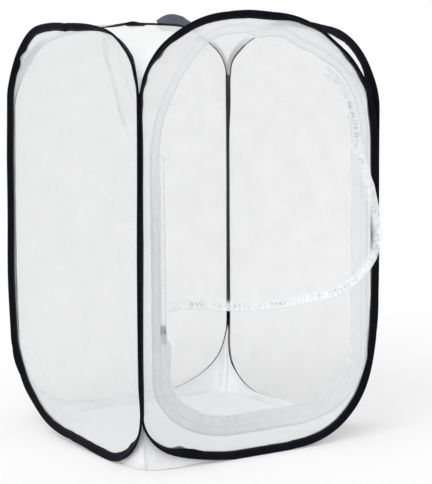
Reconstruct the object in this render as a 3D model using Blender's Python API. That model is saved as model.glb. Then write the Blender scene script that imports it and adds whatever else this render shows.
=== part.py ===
"""Pop-up insect cage.

Four mesh panels, each on its own spring-wire hoop in a folded black binding, stand in a square and carry
a cloth top and base. The front panel has a clear zipped door, and the back hoop a webbing loop.
Metres, +Z up, the front faces -Y, and the origin is on the ground under the middle of the cage.
"""

import math

import bmesh
import bpy
from mathutils import Matrix, Vector

# Cage, over the outsides of its bindings
CAGE_WIDTH = 0.400
CAGE_HEIGHT = 0.613
CLEARANCE = 0.0003

# Outline of every hoop: elliptical corners, wider and taller at the head than at the foot
HEAD_CORNER_REACH_SHARE = 0.904
HEAD_CORNER_DROP_SHARE = 0.21
FOOT_CORNER_REACH_SHARE = 0.73
FOOT_CORNER_RISE_SHARE = 0.161
CORNER_STEPS = 10

# Spring wire and the crimped sleeve that joins its ends
WIRE_DIAMETER = 0.0018
WIRE_SIDES = 6
WIRE_END_GAP = 0.0006
SLEEVE_WALL = 0.0004
SLEEVE_LENGTH = 0.018
SLEEVE_SIDES = 12

# Binding tape, folded over the wire and over the edge of the mesh
BINDING_WIDTH = 0.010
BINDING_TAPE = 0.0006
BINDING_EDGE_FLAT_SHARE = 0.56
BINDING_CHAMFER = 0.0010
BINDING_POCKET = 0.0055

# Mesh panels
MESH_THICKNESS = 0.0005
MESH_IN_BINDING = 0.003

# Cloth top and base
CLOTH_THICKNESS = 0.0006
CLOTH_CELLS = 18
TOP_SAG = 0.024
BASE_CURTAIN_SHARE = 0.14

# Door opening in the front panel, to the outside of its facing tape
DOOR_SIDE_MARGIN = 0.0185
DOOR_HEAD_MARGIN = 0.016
DOOR_SILL = 0.0346
DOOR_HEAD_REACH_SHARE = 0.865
DOOR_HEAD_DROP_SHARE = 0.3156
DOOR_FOOT_REACH_SHARE = 0.727
DOOR_FOOT_RISE_SHARE = 0.164
FACING_WIDTH = 0.0145
FACING_TAPE = 0.0004

# Zip
ZIP_TAPE_THICKNESS = 0.0005
ZIP_TAPE_WIDTH = 0.014
ZIP_TAPE_FOLDED_WIDTH = 0.001
ZIP_COIL_DIAMETER = 0.0016
ZIP_COIL_SIDES = 6
ZIP_END_BELOW_HEAD = 0.174
ZIP_START_BELOW_HEAD = 0.111
ZIP_STOP_LENGTH = 0.004
ZIP_STOP_THICKNESS = 0.0032
SLIDER_HEIGHT = 0.193
SLIDER_LENGTH = 0.012
SLIDER_PLATE = 0.0008
SLIDER_WEB = 0.0009
SLIDER_OVERHANG = 0.0008
ZIP_SPREAD_LENGTH = 0.016

# Pull tab and the bridge that holds it on the slider
BRIDGE_WIDTH = 0.0014
BRIDGE_ROD = 0.0009
BRIDGE_HOLE_LENGTH = 0.0036
BRIDGE_SINK = 0.0002
TAB_THICKNESS = 0.0010
TAB_WIDTH = 0.0060
TAB_LENGTH = 0.019
TAB_BAR = 0.0010
TAB_WINDOW_LENGTH = 0.0045
TAB_RIM = 0.0014

# Free part of the door, which curls outward about the line from the slider to the zip's start
FLAP_ABOVE_SLIDER = 0.0185
FLAP_HEAD_TURN = math.radians(51.5)
FLAP_CORNER_RADIUS = 0.093
FLAP_BEND_RADIUS = 0.182
FLAP_STRIPS = 10
WINDOW_INSET_RISE_SHARE = 0.5
FLAP_STEP = 0.015
FILM_THICKNESS = 0.0004

# Webbing loop on the back hoop
LOOP_PLACE_SHARE = 0.5485
LOOP_HALF_SPAN = 0.028
LOOP_BELOW_HOOP = 0.010
LOOP_TILT = math.radians(18)
WEBBING_WIDTH = 0.022
WEBBING_THICKNESS = 0.0016
LOOP_FOOT_LENGTH = 0.010
LOOP_BOW = 0.018
LOOP_LIFT = 0.018
LOOP_STEPS = 12

# Worked out from the sizes above
WIRE_RADIUS = WIRE_DIAMETER / 2
SLEEVE_BORE_RADIUS = WIRE_RADIUS + CLEARANCE
SLEEVE_RADIUS = SLEEVE_BORE_RADIUS + SLEEVE_WALL
BINDING_HALF = SLEEVE_RADIUS + CLEARANCE + BINDING_TAPE
BINDING_THICKNESS = 2 * BINDING_HALF
BINDING_LIP_HALF = MESH_THICKNESS / 2 + CLEARANCE + BINDING_TAPE
WIRE_INSET = BINDING_TAPE + CLEARANCE + SLEEVE_RADIUS
MESH_INSET = BINDING_WIDTH - MESH_IN_BINDING
PANEL_PLANE = CAGE_WIDTH / 2 - BINDING_HALF
HOOP_HALF_WIDTH = PANEL_PLANE - BINDING_HALF - CLEARANCE
HEAD_CORNER_REACH = HOOP_HALF_WIDTH * HEAD_CORNER_REACH_SHARE
HEAD_CORNER_DROP = CAGE_HEIGHT * HEAD_CORNER_DROP_SHARE
FOOT_CORNER_REACH = HOOP_HALF_WIDTH * FOOT_CORNER_REACH_SHARE
FOOT_CORNER_RISE = CAGE_HEIGHT * FOOT_CORNER_RISE_SHARE
FOLD_INSET = (BINDING_THICKNESS + CLEARANCE) / 2
FOLD_AXIS = PANEL_PLANE - FOLD_INSET
DOOR_HALF_WIDTH = CAGE_WIDTH / 2 - DOOR_SIDE_MARGIN
DOOR_HEAD = CAGE_HEIGHT - DOOR_HEAD_MARGIN
DOOR_HEIGHT = DOOR_HEAD - DOOR_SILL
DOOR_HEAD_REACH = DOOR_HALF_WIDTH * DOOR_HEAD_REACH_SHARE
DOOR_HEAD_DROP = DOOR_HEIGHT * DOOR_HEAD_DROP_SHARE
FACING_HALF = MESH_THICKNESS / 2 + CLEARANCE + FACING_TAPE
ZIP_END_HEIGHT = DOOR_HEAD - ZIP_END_BELOW_HEAD
ZIP_START_HEIGHT = DOOR_HEAD - ZIP_START_BELOW_HEAD
FLAP_FOOT_HEIGHT = SLIDER_HEIGHT + FLAP_ABOVE_SLIDER
LOOP_MIDDLE_X = HOOP_HALF_WIDTH * LOOP_PLACE_SHARE
ZIP_COIL_RADIUS = ZIP_COIL_DIAMETER / 2
ZIP_GAP = SLIDER_WEB + 2 * CLEARANCE
FRAME_TAPE_INSET = FACING_WIDTH + CLEARANCE
FRAME_COIL_INSET = FRAME_TAPE_INSET + ZIP_TAPE_FOLDED_WIDTH + CLEARANCE + ZIP_COIL_RADIUS
ZIP_MIDDLE_INSET = FRAME_COIL_INSET + ZIP_COIL_RADIUS + ZIP_GAP / 2
DOOR_COIL_INSET = FRAME_COIL_INSET + ZIP_COIL_DIAMETER + ZIP_GAP
DOOR_TAPE_INSET = DOOR_COIL_INSET + ZIP_COIL_RADIUS + CLEARANCE
FILM_INSET = DOOR_TAPE_INSET + ZIP_TAPE_FOLDED_WIDTH + CLEARANCE
SLIDER_FOOT = SLIDER_HEIGHT - SLIDER_LENGTH / 2

HOOP = {
    "half_width": HOOP_HALF_WIDTH,
    "foot": 0.0,
    "head": CAGE_HEIGHT,
    "foot_reach": FOOT_CORNER_REACH,
    "foot_rise": FOOT_CORNER_RISE,
    "head_reach": HEAD_CORNER_REACH,
    "head_drop": HEAD_CORNER_DROP,
}
DOOR = {
    "half_width": DOOR_HALF_WIDTH,
    "foot": DOOR_SILL,
    "head": DOOR_HEAD,
    "foot_reach": DOOR_HALF_WIDTH * DOOR_FOOT_REACH_SHARE,
    "foot_rise": DOOR_HEIGHT * DOOR_FOOT_RISE_SHARE,
    "head_reach": DOOR_HEAD_REACH,
    "head_drop": DOOR_HEAD_DROP,
}

# Colour, roughness, metallic and how solid it is
FINISHES = {
    "black_tape": ((0.012, 0.012, 0.018, 1.0), 0.75, 0.0, 1.0),
    "spring_steel": ((0.42, 0.42, 0.43, 1.0), 0.35, 1.0, 1.0),
    "sleeve_steel": ((0.55, 0.55, 0.56, 1.0), 0.4, 1.0, 1.0),
    "white_mesh": ((0.86, 0.87, 0.89, 1.0), 0.8, 0.0, 0.35),
    "white_cloth": ((0.86, 0.87, 0.89, 1.0), 0.85, 0.0, 1.0),
    "white_tape": ((0.80, 0.82, 0.84, 1.0), 0.7, 0.0, 1.0),
    "white_coil": ((0.84, 0.85, 0.87, 1.0), 0.4, 0.0, 1.0),
    "clear_film": ((0.95, 0.96, 0.97, 1.0), 0.1, 0.0, 0.15),
    "slider_enamel": ((0.78, 0.79, 0.80, 1.0), 0.35, 0.0, 1.0),
    "grey_webbing": ((0.065, 0.065, 0.105, 1.0), 0.8, 0.0, 1.0),
}
ROUND_FINISHES = ("spring_steel", "sleeve_steel", "white_coil")
SHARPEST_ROUNDED_EDGE = math.radians(65)


def clear_scene():
    for thing in list(bpy.data.objects):
        bpy.data.objects.remove(thing, do_unlink=True)


def material(name, finish):
    colour, roughness, metallic, alpha = FINISHES[finish]
    made = bpy.data.materials.new(name)
    made.use_nodes = True
    shader = made.node_tree.nodes["Principled BSDF"]
    shader.inputs["Base Color"].default_value = colour
    shader.inputs["Roughness"].default_value = roughness
    shader.inputs["Metallic"].default_value = metallic
    shader.inputs["Alpha"].default_value = alpha
    made.diffuse_color = (*colour[:3], alpha)
    return made


def add_object(name, mesh_maker, finish, parent, offset=(0.0, 0.0, 0.0)):
    """Turns a bmesh into a named object with its own material, hung on its panel's or joint's empty."""
    mesh = bpy.data.meshes.new(name)
    bmesh.ops.recalc_face_normals(mesh_maker, faces=mesh_maker.faces[:])
    mesh_maker.to_mesh(mesh)
    mesh_maker.free()
    if finish in ROUND_FINISHES:
        mesh.shade_smooth()
        mesh.set_sharp_from_angle(angle=SHARPEST_ROUNDED_EDGE)
    made = bpy.data.objects.new(name, mesh)
    bpy.context.scene.collection.objects.link(made)
    mesh.materials.append(material(f"{name}_finish", finish))
    made.parent = parent
    made.location = offset
    return made


def empty(name, location, turn, parent=None):
    made = bpy.data.objects.new(name, None)
    bpy.context.scene.collection.objects.link(made)
    made.matrix_world = Matrix.Translation(location) @ turn
    made.parent = parent
    if parent is not None:
        made.matrix_parent_inverse = parent.matrix_world.inverted()
    bpy.context.view_layer.update()
    return made


def thicken(made, thickness):
    shell = made.modifiers.new("thickness", "SOLIDIFY")
    shell.thickness = thickness
    shell.offset = 0.0
    return made


def corner(centre, reach, rise, start_turn):
    """Points and outward normals on a quarter ellipse, anticlockwise from start_turn."""
    frames = []
    for step in range(CORNER_STEPS + 1):
        turn = start_turn + math.pi / 2 * step / CORNER_STEPS
        point = centre + Vector((reach * math.cos(turn), rise * math.sin(turn)))
        normal = Vector((math.cos(turn) / reach, math.sin(turn) / rise)).normalized()
        frames.append((point, normal))
    return frames


def right_side(shape):
    """Foot corner and head corner of a shape's right half, from its foot to its head."""
    foot_centre = Vector((shape["half_width"] - shape["foot_reach"], shape["foot"] + shape["foot_rise"]))
    head_centre = Vector((shape["half_width"] - shape["head_reach"], shape["head"] - shape["head_drop"]))
    foot = corner(foot_centre, shape["foot_reach"], shape["foot_rise"], -math.pi / 2)
    head = corner(head_centre, shape["head_reach"], shape["head_drop"], 0.0)
    return foot + head


def mirrored(frames):
    return [
        (Vector((-point.x, point.y)), Vector((-normal.x, normal.y)))
        for point, normal in reversed(frames)
    ]


def once_round(shape):
    half = right_side(shape)
    return half + mirrored(half)


def inset_points(frames, inset):
    return [point - normal * inset for point, normal in frames]


def drop_at(distance, half_width, reach, drop):
    """How far a shape's edge has left its flat middle at a distance from its centre line."""
    along = (abs(distance) - (half_width - reach)) / reach
    if along <= 0:
        return 0.0
    return drop * (1 - math.sqrt(max(0.0, 1 - along**2)))


def on_panel(x, z, depth):
    return Vector((x, depth, z))


def add_ring(maker, frame, section, place):
    point, normal = frame
    ring = []
    for inset, depth in section:
        spot = point - normal * inset
        ring.append(maker.verts.new(place(spot.x, spot.y, depth)))
    return ring


def sweep(frames, sections, place=on_panel, closed=False):
    """Carries a section, or one section for each frame, along frames and closes or caps it."""
    maker = bmesh.new()
    if not isinstance(sections[0], list):
        sections = [sections] * len(frames)
    rings = [add_ring(maker, frame, section, place) for frame, section in zip(frames, sections)]
    pairs = list(zip(rings, rings[1:]))
    if closed:
        pairs.append((rings[-1], rings[0]))
    for first, second in pairs:
        count = len(first)
        for index in range(count):
            after = (index + 1) % count
            maker.faces.new((first[index], first[after], second[after], second[index]))
    if not closed:
        maker.faces.new(rings[0])
        maker.faces.new(rings[-1])
    return maker


def round_section(inset, radius, sides):
    turns = [2 * math.pi * side / sides for side in range(sides)]
    return [(inset + radius * math.cos(turn), radius * math.sin(turn)) for turn in turns]


def flat_section(first_inset, last_inset, thickness):
    half = thickness / 2
    return [(first_inset, -half), (last_inset, -half), (last_inset, half), (first_inset, half)]


def binding_section():
    """Tape folded round the wire: a bend at the outer edge, a pocket, and two lips on the mesh."""
    outer_flat = BINDING_HALF * BINDING_EDGE_FLAT_SHARE
    inner_half = BINDING_HALF - BINDING_TAPE
    inner_flat = inner_half * BINDING_EDGE_FLAT_SHARE
    lip = BINDING_LIP_HALF
    inner_lip = BINDING_LIP_HALF - BINDING_TAPE
    outside = [
        (0.0, outer_flat),
        (BINDING_CHAMFER, BINDING_HALF),
        (BINDING_POCKET, BINDING_HALF),
        (BINDING_WIDTH, lip),
    ]
    inside = [
        (BINDING_WIDTH, inner_lip),
        (BINDING_POCKET, inner_half),
        (BINDING_CHAMFER + BINDING_TAPE / 2, inner_half),
        (BINDING_TAPE, inner_flat),
    ]
    upper = outside + inside
    lower = [(inset, -depth) for inset, depth in reversed(upper)]
    return upper + lower


def facing_section():
    """Tape folded over the cut edge of the front mesh, open towards the mesh."""
    inner = FACING_HALF - FACING_TAPE
    bend = FACING_WIDTH - FACING_TAPE
    upper = [(FACING_WIDTH, FACING_HALF), (0.0, FACING_HALF), (0.0, inner), (bend, inner)]
    lower = [(inset, -depth) for inset, depth in reversed(upper)]
    return upper + lower


def plate(outer, hole=None, place=on_panel):
    """A flat sheet filled between an outline and, if given, a hole; both have as many points."""
    maker = bmesh.new()
    rim = [maker.verts.new(place(point.x, point.y, 0.0)) for point in outer]
    if hole is None:
        maker.faces.new(rim)
        return maker
    inner = [maker.verts.new(place(point.x, point.y, 0.0)) for point in hole]
    count = len(rim)
    for index in range(count):
        after = (index + 1) % count
        maker.faces.new((rim[index], rim[after], inner[after], inner[index]))
    return maker


def tube(length, radius, bore_radius, sides):
    """A tube along X, centred on its own middle."""
    maker = bmesh.new()
    rings = []
    half = length / 2
    for x, size in ((-half, radius), (half, radius), (half, bore_radius), (-half, bore_radius)):
        ring = []
        for side in range(sides):
            turn = 2 * math.pi * side / sides
            ring.append(maker.verts.new((x, size * math.cos(turn), size * math.sin(turn))))
        rings.append(ring)
    for first, second in zip(rings, rings[1:] + rings[:1]):
        for side in range(sides):
            after = (side + 1) % sides
            maker.faces.new((first[side], first[after], second[after], second[side]))
    return maker


def block(low, high):
    maker = bmesh.new()
    bmesh.ops.create_cube(maker, size=1.0)
    low = Vector(low)
    high = Vector(high)
    size = high - low
    bmesh.ops.scale(maker, vec=size, verts=maker.verts)
    bmesh.ops.translate(maker, vec=(low + high) / 2, verts=maker.verts)
    return maker


def make_hoop(side, parent, offset):
    """Binding, wire and sleeve of one panel."""
    frames = once_round(HOOP)
    add_object(f"{side}_binding", sweep(frames, binding_section(), closed=True), "black_tape", parent, offset)
    down = Vector((0.0, -1.0))
    ends = [(Vector((end * WIRE_END_GAP / 2, 0.0)), down) for end in (1, -1)]
    wire_frames = [ends[0]] + frames + [ends[1]]
    wire = round_section(WIRE_INSET, WIRE_RADIUS, WIRE_SIDES)
    add_object(f"{side}_wire_hoop", sweep(wire_frames, wire), "spring_steel", parent, offset)
    sleeve = tube(SLEEVE_LENGTH, SLEEVE_RADIUS, SLEEVE_BORE_RADIUS, SLEEVE_SIDES)
    sleeve_place = Vector(offset) + Vector((0.0, 0.0, WIRE_INSET))
    add_object(f"{side}_wire_sleeve", sleeve, "sleeve_steel", parent, sleeve_place)


def make_plain_mesh(side, parent, offset):
    outline = inset_points(once_round(HOOP), MESH_INSET)
    made = add_object(f"{side}_mesh", plate(outline), "white_mesh", parent, offset)
    thicken(made, MESH_THICKNESS)


def make_front_mesh(parent):
    outline = inset_points(once_round(HOOP), MESH_INSET)
    hole = inset_points(once_round(DOOR), FACING_WIDTH - FACING_TAPE - CLEARANCE)
    thicken(add_object("front_mesh", plate(outline, hole), "white_mesh", parent), MESH_THICKNESS)


def cloth_sheet(height_at):
    """A square sheet with its cells closer together towards the corners."""
    maker = bmesh.new()
    spots = [
        HOOP_HALF_WIDTH * math.sin(math.pi / 2 * (2 * cell / CLOTH_CELLS - 1))
        for cell in range(CLOTH_CELLS + 1)
    ]
    rows = [[maker.verts.new((x, y, height_at(x, y))) for x in spots] for y in spots]
    for row, next_row in zip(rows, rows[1:]):
        for cell in range(CLOTH_CELLS):
            maker.faces.new((row[cell], row[cell + 1], next_row[cell + 1], next_row[cell]))
    return maker


def middle_share(x, y):
    """1 in the middle of the cage, falling to 0 at its sides."""
    return (1 - (x / HOOP_HALF_WIDTH) ** 2) * (1 - (y / HOOP_HALF_WIDTH) ** 2)


def top_height(x, y):
    drop_x, drop_y = (drop_at(d, HOOP_HALF_WIDTH, HEAD_CORNER_REACH, HEAD_CORNER_DROP) for d in (x, y))
    drop = drop_x * drop_y / HEAD_CORNER_DROP
    return CAGE_HEIGHT - WIRE_INSET - drop - TOP_SAG * middle_share(x, y)


def curtain_share(distance):
    """1 at the cage's side, falling to 0 a little way in, where the base lies on the ground."""
    near = (abs(distance) / HOOP_HALF_WIDTH - 1 + BASE_CURTAIN_SHARE) / BASE_CURTAIN_SHARE
    return max(0.0, near) ** 2


def base_height(x, y):
    """Flat on the ground, and hanging like a curtain from the feet of the hoops."""
    rise_x, rise_y = (drop_at(d, HOOP_HALF_WIDTH, FOOT_CORNER_REACH, FOOT_CORNER_RISE) for d in (x, y))
    hang_x, hang_y = curtain_share(x), curtain_share(y)
    rise = rise_x * hang_y + rise_y * hang_x - FOOT_CORNER_RISE * hang_x * hang_y
    seam = WIRE_INSET * (hang_x + hang_y - hang_x * hang_y)
    return max(CLOTH_THICKNESS / 2, rise + seam)


def make_cloth(parent):
    """Top and base, whose edges follow the insides of all four hoops."""
    middle = Vector((0.0, PANEL_PLANE, 0.0))
    thicken(add_object("top_panel", cloth_sheet(top_height), "white_cloth", parent, middle), CLOTH_THICKNESS)
    thicken(add_object("base_panel", cloth_sheet(base_height), "white_cloth", parent, middle), CLOTH_THICKNESS)


def left_edge(height, inset=0.0):
    """A frame on the straight left side of the door, facing out of the opening."""
    left = Vector((-1.0, 0.0))
    return (Vector((-DOOR_HALF_WIDTH + inset, height)), left)


def frame_zip_frames():
    """Frames of the frame side of the zip, from its start on the right, under the door, to its left end."""
    half = right_side(DOOR)
    foot = half[: CORNER_STEPS + 1]
    head = [frame for frame in half[CORNER_STEPS + 1 :] if frame[0].y < ZIP_START_HEIGHT]
    free = head[::-1] + foot[::-1] + mirrored(foot)[::-1]
    closing = [left_edge(SLIDER_FOOT - ZIP_SPREAD_LENGTH), left_edge(SLIDER_FOOT), left_edge(ZIP_END_HEIGHT)]
    widths = [ZIP_TAPE_WIDTH] * (len(free) + 1) + [ZIP_TAPE_FOLDED_WIDTH] * 2
    return free + closing, widths


def zip_stop(frame, first_inset, last_inset):
    """A small block across the end of one or both coils, beyond the end of the zip."""
    point, normal = frame
    onward = Vector((-normal.y, normal.x))
    if onward.y < 0:
        onward = -onward
    near = point + onward * CLEARANCE
    far = near + onward * ZIP_STOP_LENGTH
    section = flat_section(first_inset, last_inset, ZIP_STOP_THICKNESS)
    return sweep([(near, normal), (far, normal)], section)


def make_frame_zip(parent):
    frames, widths = frame_zip_frames()
    tapes = [flat_section(FRAME_TAPE_INSET, FRAME_TAPE_INSET + width, ZIP_TAPE_THICKNESS) for width in widths]
    add_object("frame_zip_tape", sweep(frames, tapes), "white_tape", parent)
    beyond_tape = FRAME_TAPE_INSET + CLEARANCE + ZIP_COIL_RADIUS
    coils = [round_section(beyond_tape + width, ZIP_COIL_RADIUS, ZIP_COIL_SIDES) for width in widths]
    add_object("frame_zip_coil", sweep(frames, coils), "white_coil", parent)
    free_coil = beyond_tape + ZIP_TAPE_WIDTH
    start = zip_stop(frames[0], free_coil - ZIP_COIL_DIAMETER, free_coil + ZIP_COIL_DIAMETER)
    add_object("zip_start_stop", start, "white_coil", parent)
    coil_pair = (FRAME_COIL_INSET - ZIP_COIL_RADIUS, DOOR_COIL_INSET + ZIP_COIL_RADIUS)
    add_object("zip_end_stop", zip_stop(frames[-1], *coil_pair), "white_coil", parent)


def make_facing(parent):
    add_object("door_facing", sweep(once_round(DOOR), facing_section(), closed=True), "white_tape", parent)


def flap_line():
    """Ends of the line about which the free part of the door curls: at the slider, and on the door's head."""
    foot = Vector((-DOOR_HALF_WIDTH + FILM_INSET, FLAP_FOOT_HEIGHT))
    head_centre = Vector((DOOR_HALF_WIDTH - DOOR_HEAD_REACH, DOOR_HEAD - DOOR_HEAD_DROP))
    reach = DOOR_HEAD_REACH - FRAME_TAPE_INSET
    drop = DOOR_HEAD_DROP - FRAME_TAPE_INSET
    head = head_centre + Vector((reach * math.sin(FLAP_HEAD_TURN), drop * math.cos(FLAP_HEAD_TURN)))
    return foot, head


def flap_directions():
    """Along the flap's line, and away from it across the free part of the door."""
    foot, head = flap_line()
    along = (head - foot).normalized()
    return along, Vector((along.y, -along.x))


def beyond_flap_line(point):
    """How far a point of the flat door lies on the flap's side of its line."""
    foot, head = flap_line()
    along, away = flap_directions()
    return (point - foot).dot(away)


def on_flap(x, z, depth):
    """Bends the flat door outward round a cylinder that touches it along the flap's line."""
    foot, head = flap_line()
    along, away = flap_directions()
    bend = beyond_flap_line(Vector((x, z))) / FLAP_BEND_RADIUS
    radius = FLAP_BEND_RADIUS + depth
    reach = (Vector((x, z)) - foot).dot(along)
    return Vector((reach, radius * math.cos(bend) - FLAP_BEND_RADIUS, -radius * math.sin(bend)))


def divided(frames, longest):
    """The same frames with more between them, none further apart than longest."""
    made = [frames[0]]
    for (first, first_normal), (last, last_normal) in zip(frames, frames[1:]):
        count = max(1, math.ceil((last - first).length / longest))
        for step in range(1, count + 1):
            share = step / count
            made.append((first.lerp(last, share), first_normal.lerp(last_normal, share).normalized()))
    return made


def flap_edge_frames():
    """Free edge of the flat door, from the foot of the flap's line along the bottom and up the right side."""
    foot, head = flap_line()
    edge_x = DOOR_HALF_WIDTH - FRAME_COIL_INSET - ZIP_COIL_RADIUS
    radius = FLAP_CORNER_RADIUS
    centre = Vector((edge_x - radius, foot.y + radius))
    frames = [(foot, Vector((0.0, -1.0)))] + corner(centre, radius, radius, -math.pi / 2)
    for point, normal in right_side(DOOR)[CORNER_STEPS + 1 :]:
        inside = point - normal * (DOOR_HALF_WIDTH - edge_x)
        if inside.y > centre.y and inside.x > head.x - FACING_WIDTH:
            frames.append((inside, normal))
    return divided(frames, FLAP_STEP)


def make_flap(parent):
    """Free part of the door: clear film with half of the zip along its edge."""
    tape_start = ZIP_COIL_DIAMETER + CLEARANCE
    tape_end = tape_start + ZIP_TAPE_WIDTH
    clear_of_facing = math.sqrt(2 * FLAP_BEND_RADIUS * (FACING_HALF + ZIP_COIL_DIAMETER))
    frames = [
        (point, normal)
        for point, normal in flap_edge_frames()
        if beyond_flap_line(point - normal * tape_end) > CLEARANCE
        and (point.x < 0 or beyond_flap_line(point) > clear_of_facing)
    ]
    coil = round_section(ZIP_COIL_RADIUS, ZIP_COIL_RADIUS, ZIP_COIL_SIDES)
    add_object("flap_zip_coil", sweep(frames, coil, on_flap), "white_coil", parent)
    tape = flat_section(tape_start, tape_end, ZIP_TAPE_THICKNESS)
    add_object("flap_zip_tape", sweep(frames, tape, on_flap), "white_tape", parent)
    made = add_object("door_flap", flap_film(tape_end + CLEARANCE), "clear_film", parent)
    thicken(made, FILM_THICKNESS)


def flap_film(inset):
    """Film inside the zip tape, cut off at the flap's line, cut into strips along the bend and then curled."""
    edge = inset_points(flap_edge_frames(), inset)
    rim = edge + [Vector((edge[0].x, edge[-1].y))]
    maker = bmesh.new()
    maker.faces.new([maker.verts.new((point.x, 0.0, point.y)) for point in rim])
    foot, head = flap_line()
    along, away = flap_directions()
    reach = max(beyond_flap_line(point) for point in edge)
    for strip in range(FLAP_STRIPS):
        cut = foot + away * (CLEARANCE + reach * strip / FLAP_STRIPS)
        bmesh.ops.bisect_plane(
            maker,
            geom=maker.verts[:] + maker.edges[:] + maker.faces[:],
            plane_co=(cut.x, 0.0, cut.y),
            plane_no=(away.x, 0.0, away.y),
            clear_inner=strip == 0,
        )
    for vert in maker.verts:
        vert.co = on_flap(vert.co.x, vert.co.z, 0.0)
    return maker


def make_window(parent):
    """Zipped part of the door: film between the left zip, the head facing and the flap's line."""
    foot, head = flap_line()
    along, away = flap_directions()
    head_half = right_side(DOOR)[CORNER_STEPS + 1 :]
    arch = head_half + mirrored(head_half)[1:]
    rim = []
    for point, normal in arch:
        rise = (point.y - DOOR_HEAD + DOOR_HEAD_DROP) / DOOR_HEAD_DROP
        beside_zip = max(0.0, 1 - rise / WINDOW_INSET_RISE_SHARE) if point.x < 0 else 0.0
        inset = FRAME_TAPE_INSET + (FILM_INSET - FRAME_TAPE_INSET) * beside_zip
        spot = point - normal * inset
        if beyond_flap_line(spot) < -CLEARANCE:
            rim.append(spot)
    start = head - away * CLEARANCE - along * FRAME_TAPE_INSET
    end = foot - away * CLEARANCE + along * CLEARANCE
    left = Vector((-DOOR_HALF_WIDTH + FILM_INSET, end.y + CLEARANCE))
    made = add_object("door_window", plate([start] + rim + [left, end]), "clear_film", parent)
    thicken(made, FILM_THICKNESS)


def make_window_zip(parent):
    low = SLIDER_FOOT + CLEARANCE
    frames = [left_edge(low), left_edge(ZIP_END_HEIGHT)]
    coil = round_section(DOOR_COIL_INSET, ZIP_COIL_RADIUS, ZIP_COIL_SIDES)
    add_object("window_zip_coil", sweep(frames, coil), "white_coil", parent)
    tape = flat_section(DOOR_TAPE_INSET, DOOR_TAPE_INSET + ZIP_TAPE_FOLDED_WIDTH, ZIP_TAPE_THICKNESS)
    add_object("window_zip_tape", sweep(frames, tape), "white_tape", parent)


def slider_body():
    """Two plates and a web between them, straddling both coils, as a section in the X-Y plane."""
    half_width = ZIP_GAP / 2 + ZIP_COIL_DIAMETER + SLIDER_OVERHANG
    inner = ZIP_COIL_RADIUS + CLEARANCE
    outer = inner + SLIDER_PLATE
    web = SLIDER_WEB / 2
    quarter = [(web, inner), (half_width, inner), (half_width, outer)]
    right = quarter[::-1] + [(x, -y) for x, y in quarter]
    left = [(-x, y) for x, y in reversed(right)]
    maker = bmesh.new()
    section = maker.faces.new([maker.verts.new((x, y, -SLIDER_LENGTH / 2)) for x, y in right + left])
    grown = bmesh.ops.extrude_face_region(maker, geom=[section])
    moved = [item for item in grown["geom"] if isinstance(item, bmesh.types.BMVert)]
    bmesh.ops.translate(maker, vec=(0.0, 0.0, SLIDER_LENGTH), verts=moved)
    return maker


def bridge_depth():
    """Distance from the zip's plane to the middle of the bridge's hole."""
    plate_face = ZIP_COIL_RADIUS + CLEARANCE + SLIDER_PLATE
    return plate_face + CLEARANCE + TAB_THICKNESS


def slider_bridge():
    """Loop on the slider's face that the pull tab's bar passes through."""
    plate_face = ZIP_COIL_RADIUS + CLEARANCE + SLIDER_PLATE
    foot = -(plate_face - BRIDGE_SINK)
    crown = -(bridge_depth() + TAB_THICKNESS)
    hole = BRIDGE_HOLE_LENGTH / 2
    outside = hole + BRIDGE_ROD
    profile = [
        (foot, -outside),
        (crown - BRIDGE_ROD, -hole),
        (crown - BRIDGE_ROD, hole),
        (foot, outside),
        (foot, hole),
        (crown, hole - BRIDGE_ROD / 2),
        (crown, -hole + BRIDGE_ROD / 2),
        (foot, -hole),
    ]
    maker = bmesh.new()
    face = maker.faces.new([maker.verts.new((-BRIDGE_WIDTH / 2, y, z)) for y, z in profile])
    grown = bmesh.ops.extrude_face_region(maker, geom=[face])
    moved = [item for item in grown["geom"] if isinstance(item, bmesh.types.BMVert)]
    bmesh.ops.translate(maker, vec=(BRIDGE_WIDTH, 0.0, 0.0), verts=moved)
    return maker


def make_slider(parent):
    slider = add_object("zip_slider", slider_body(), "slider_enamel", parent)
    bridge = add_object("zip_slider_bridge_guide", slider_bridge(), "slider_enamel", parent)
    bridge.hide_render = True
    bridge.display_type = "WIRE"
    joined = slider.modifiers.new("bridge", "BOOLEAN")
    joined.operation = "UNION"
    joined.object = bridge


def make_pull_tab(parent):
    """Plate with a window near its top, so that its bar turns inside the slider's bridge."""
    half = TAB_WIDTH / 2
    top = TAB_BAR / 2
    outer = [
        Vector((half, top)),
        Vector((half, top - TAB_LENGTH + TAB_RIM)),
        Vector((half - TAB_RIM, top - TAB_LENGTH)),
        Vector((TAB_RIM - half, top - TAB_LENGTH)),
        Vector((-half, top - TAB_LENGTH + TAB_RIM)),
        Vector((-half, top)),
    ]
    inner_half = half - TAB_RIM
    low = -top - TAB_WINDOW_LENGTH
    hole = [
        Vector((inner_half, -top)),
        Vector((inner_half, low + TAB_RIM / 2)),
        Vector((inner_half / 2, low)),
        Vector((-inner_half / 2, low)),
        Vector((-inner_half, low + TAB_RIM / 2)),
        Vector((-inner_half, -top)),
    ]
    thicken(add_object("zip_pull_tab", plate(outer, hole), "slider_enamel", parent), TAB_THICKNESS)


def loop_path():
    """Spots along the webbing loop's lower edge between its sewn ends, each with its upward direction."""
    spots = []
    for step in range(LOOP_STEPS + 1):
        along = -1 + 2 * step / LOOP_STEPS
        swell = math.cos(math.pi / 2 * along)
        upright = Vector((math.sin(LOOP_TILT * swell), 0.0, math.cos(LOOP_TILT * swell)))
        start = Vector((along * (LOOP_HALF_SPAN - CLEARANCE), -LOOP_BOW * swell, 0.0))
        spots.append((start + upright * LOOP_LIFT * swell, upright))
    return spots


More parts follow.
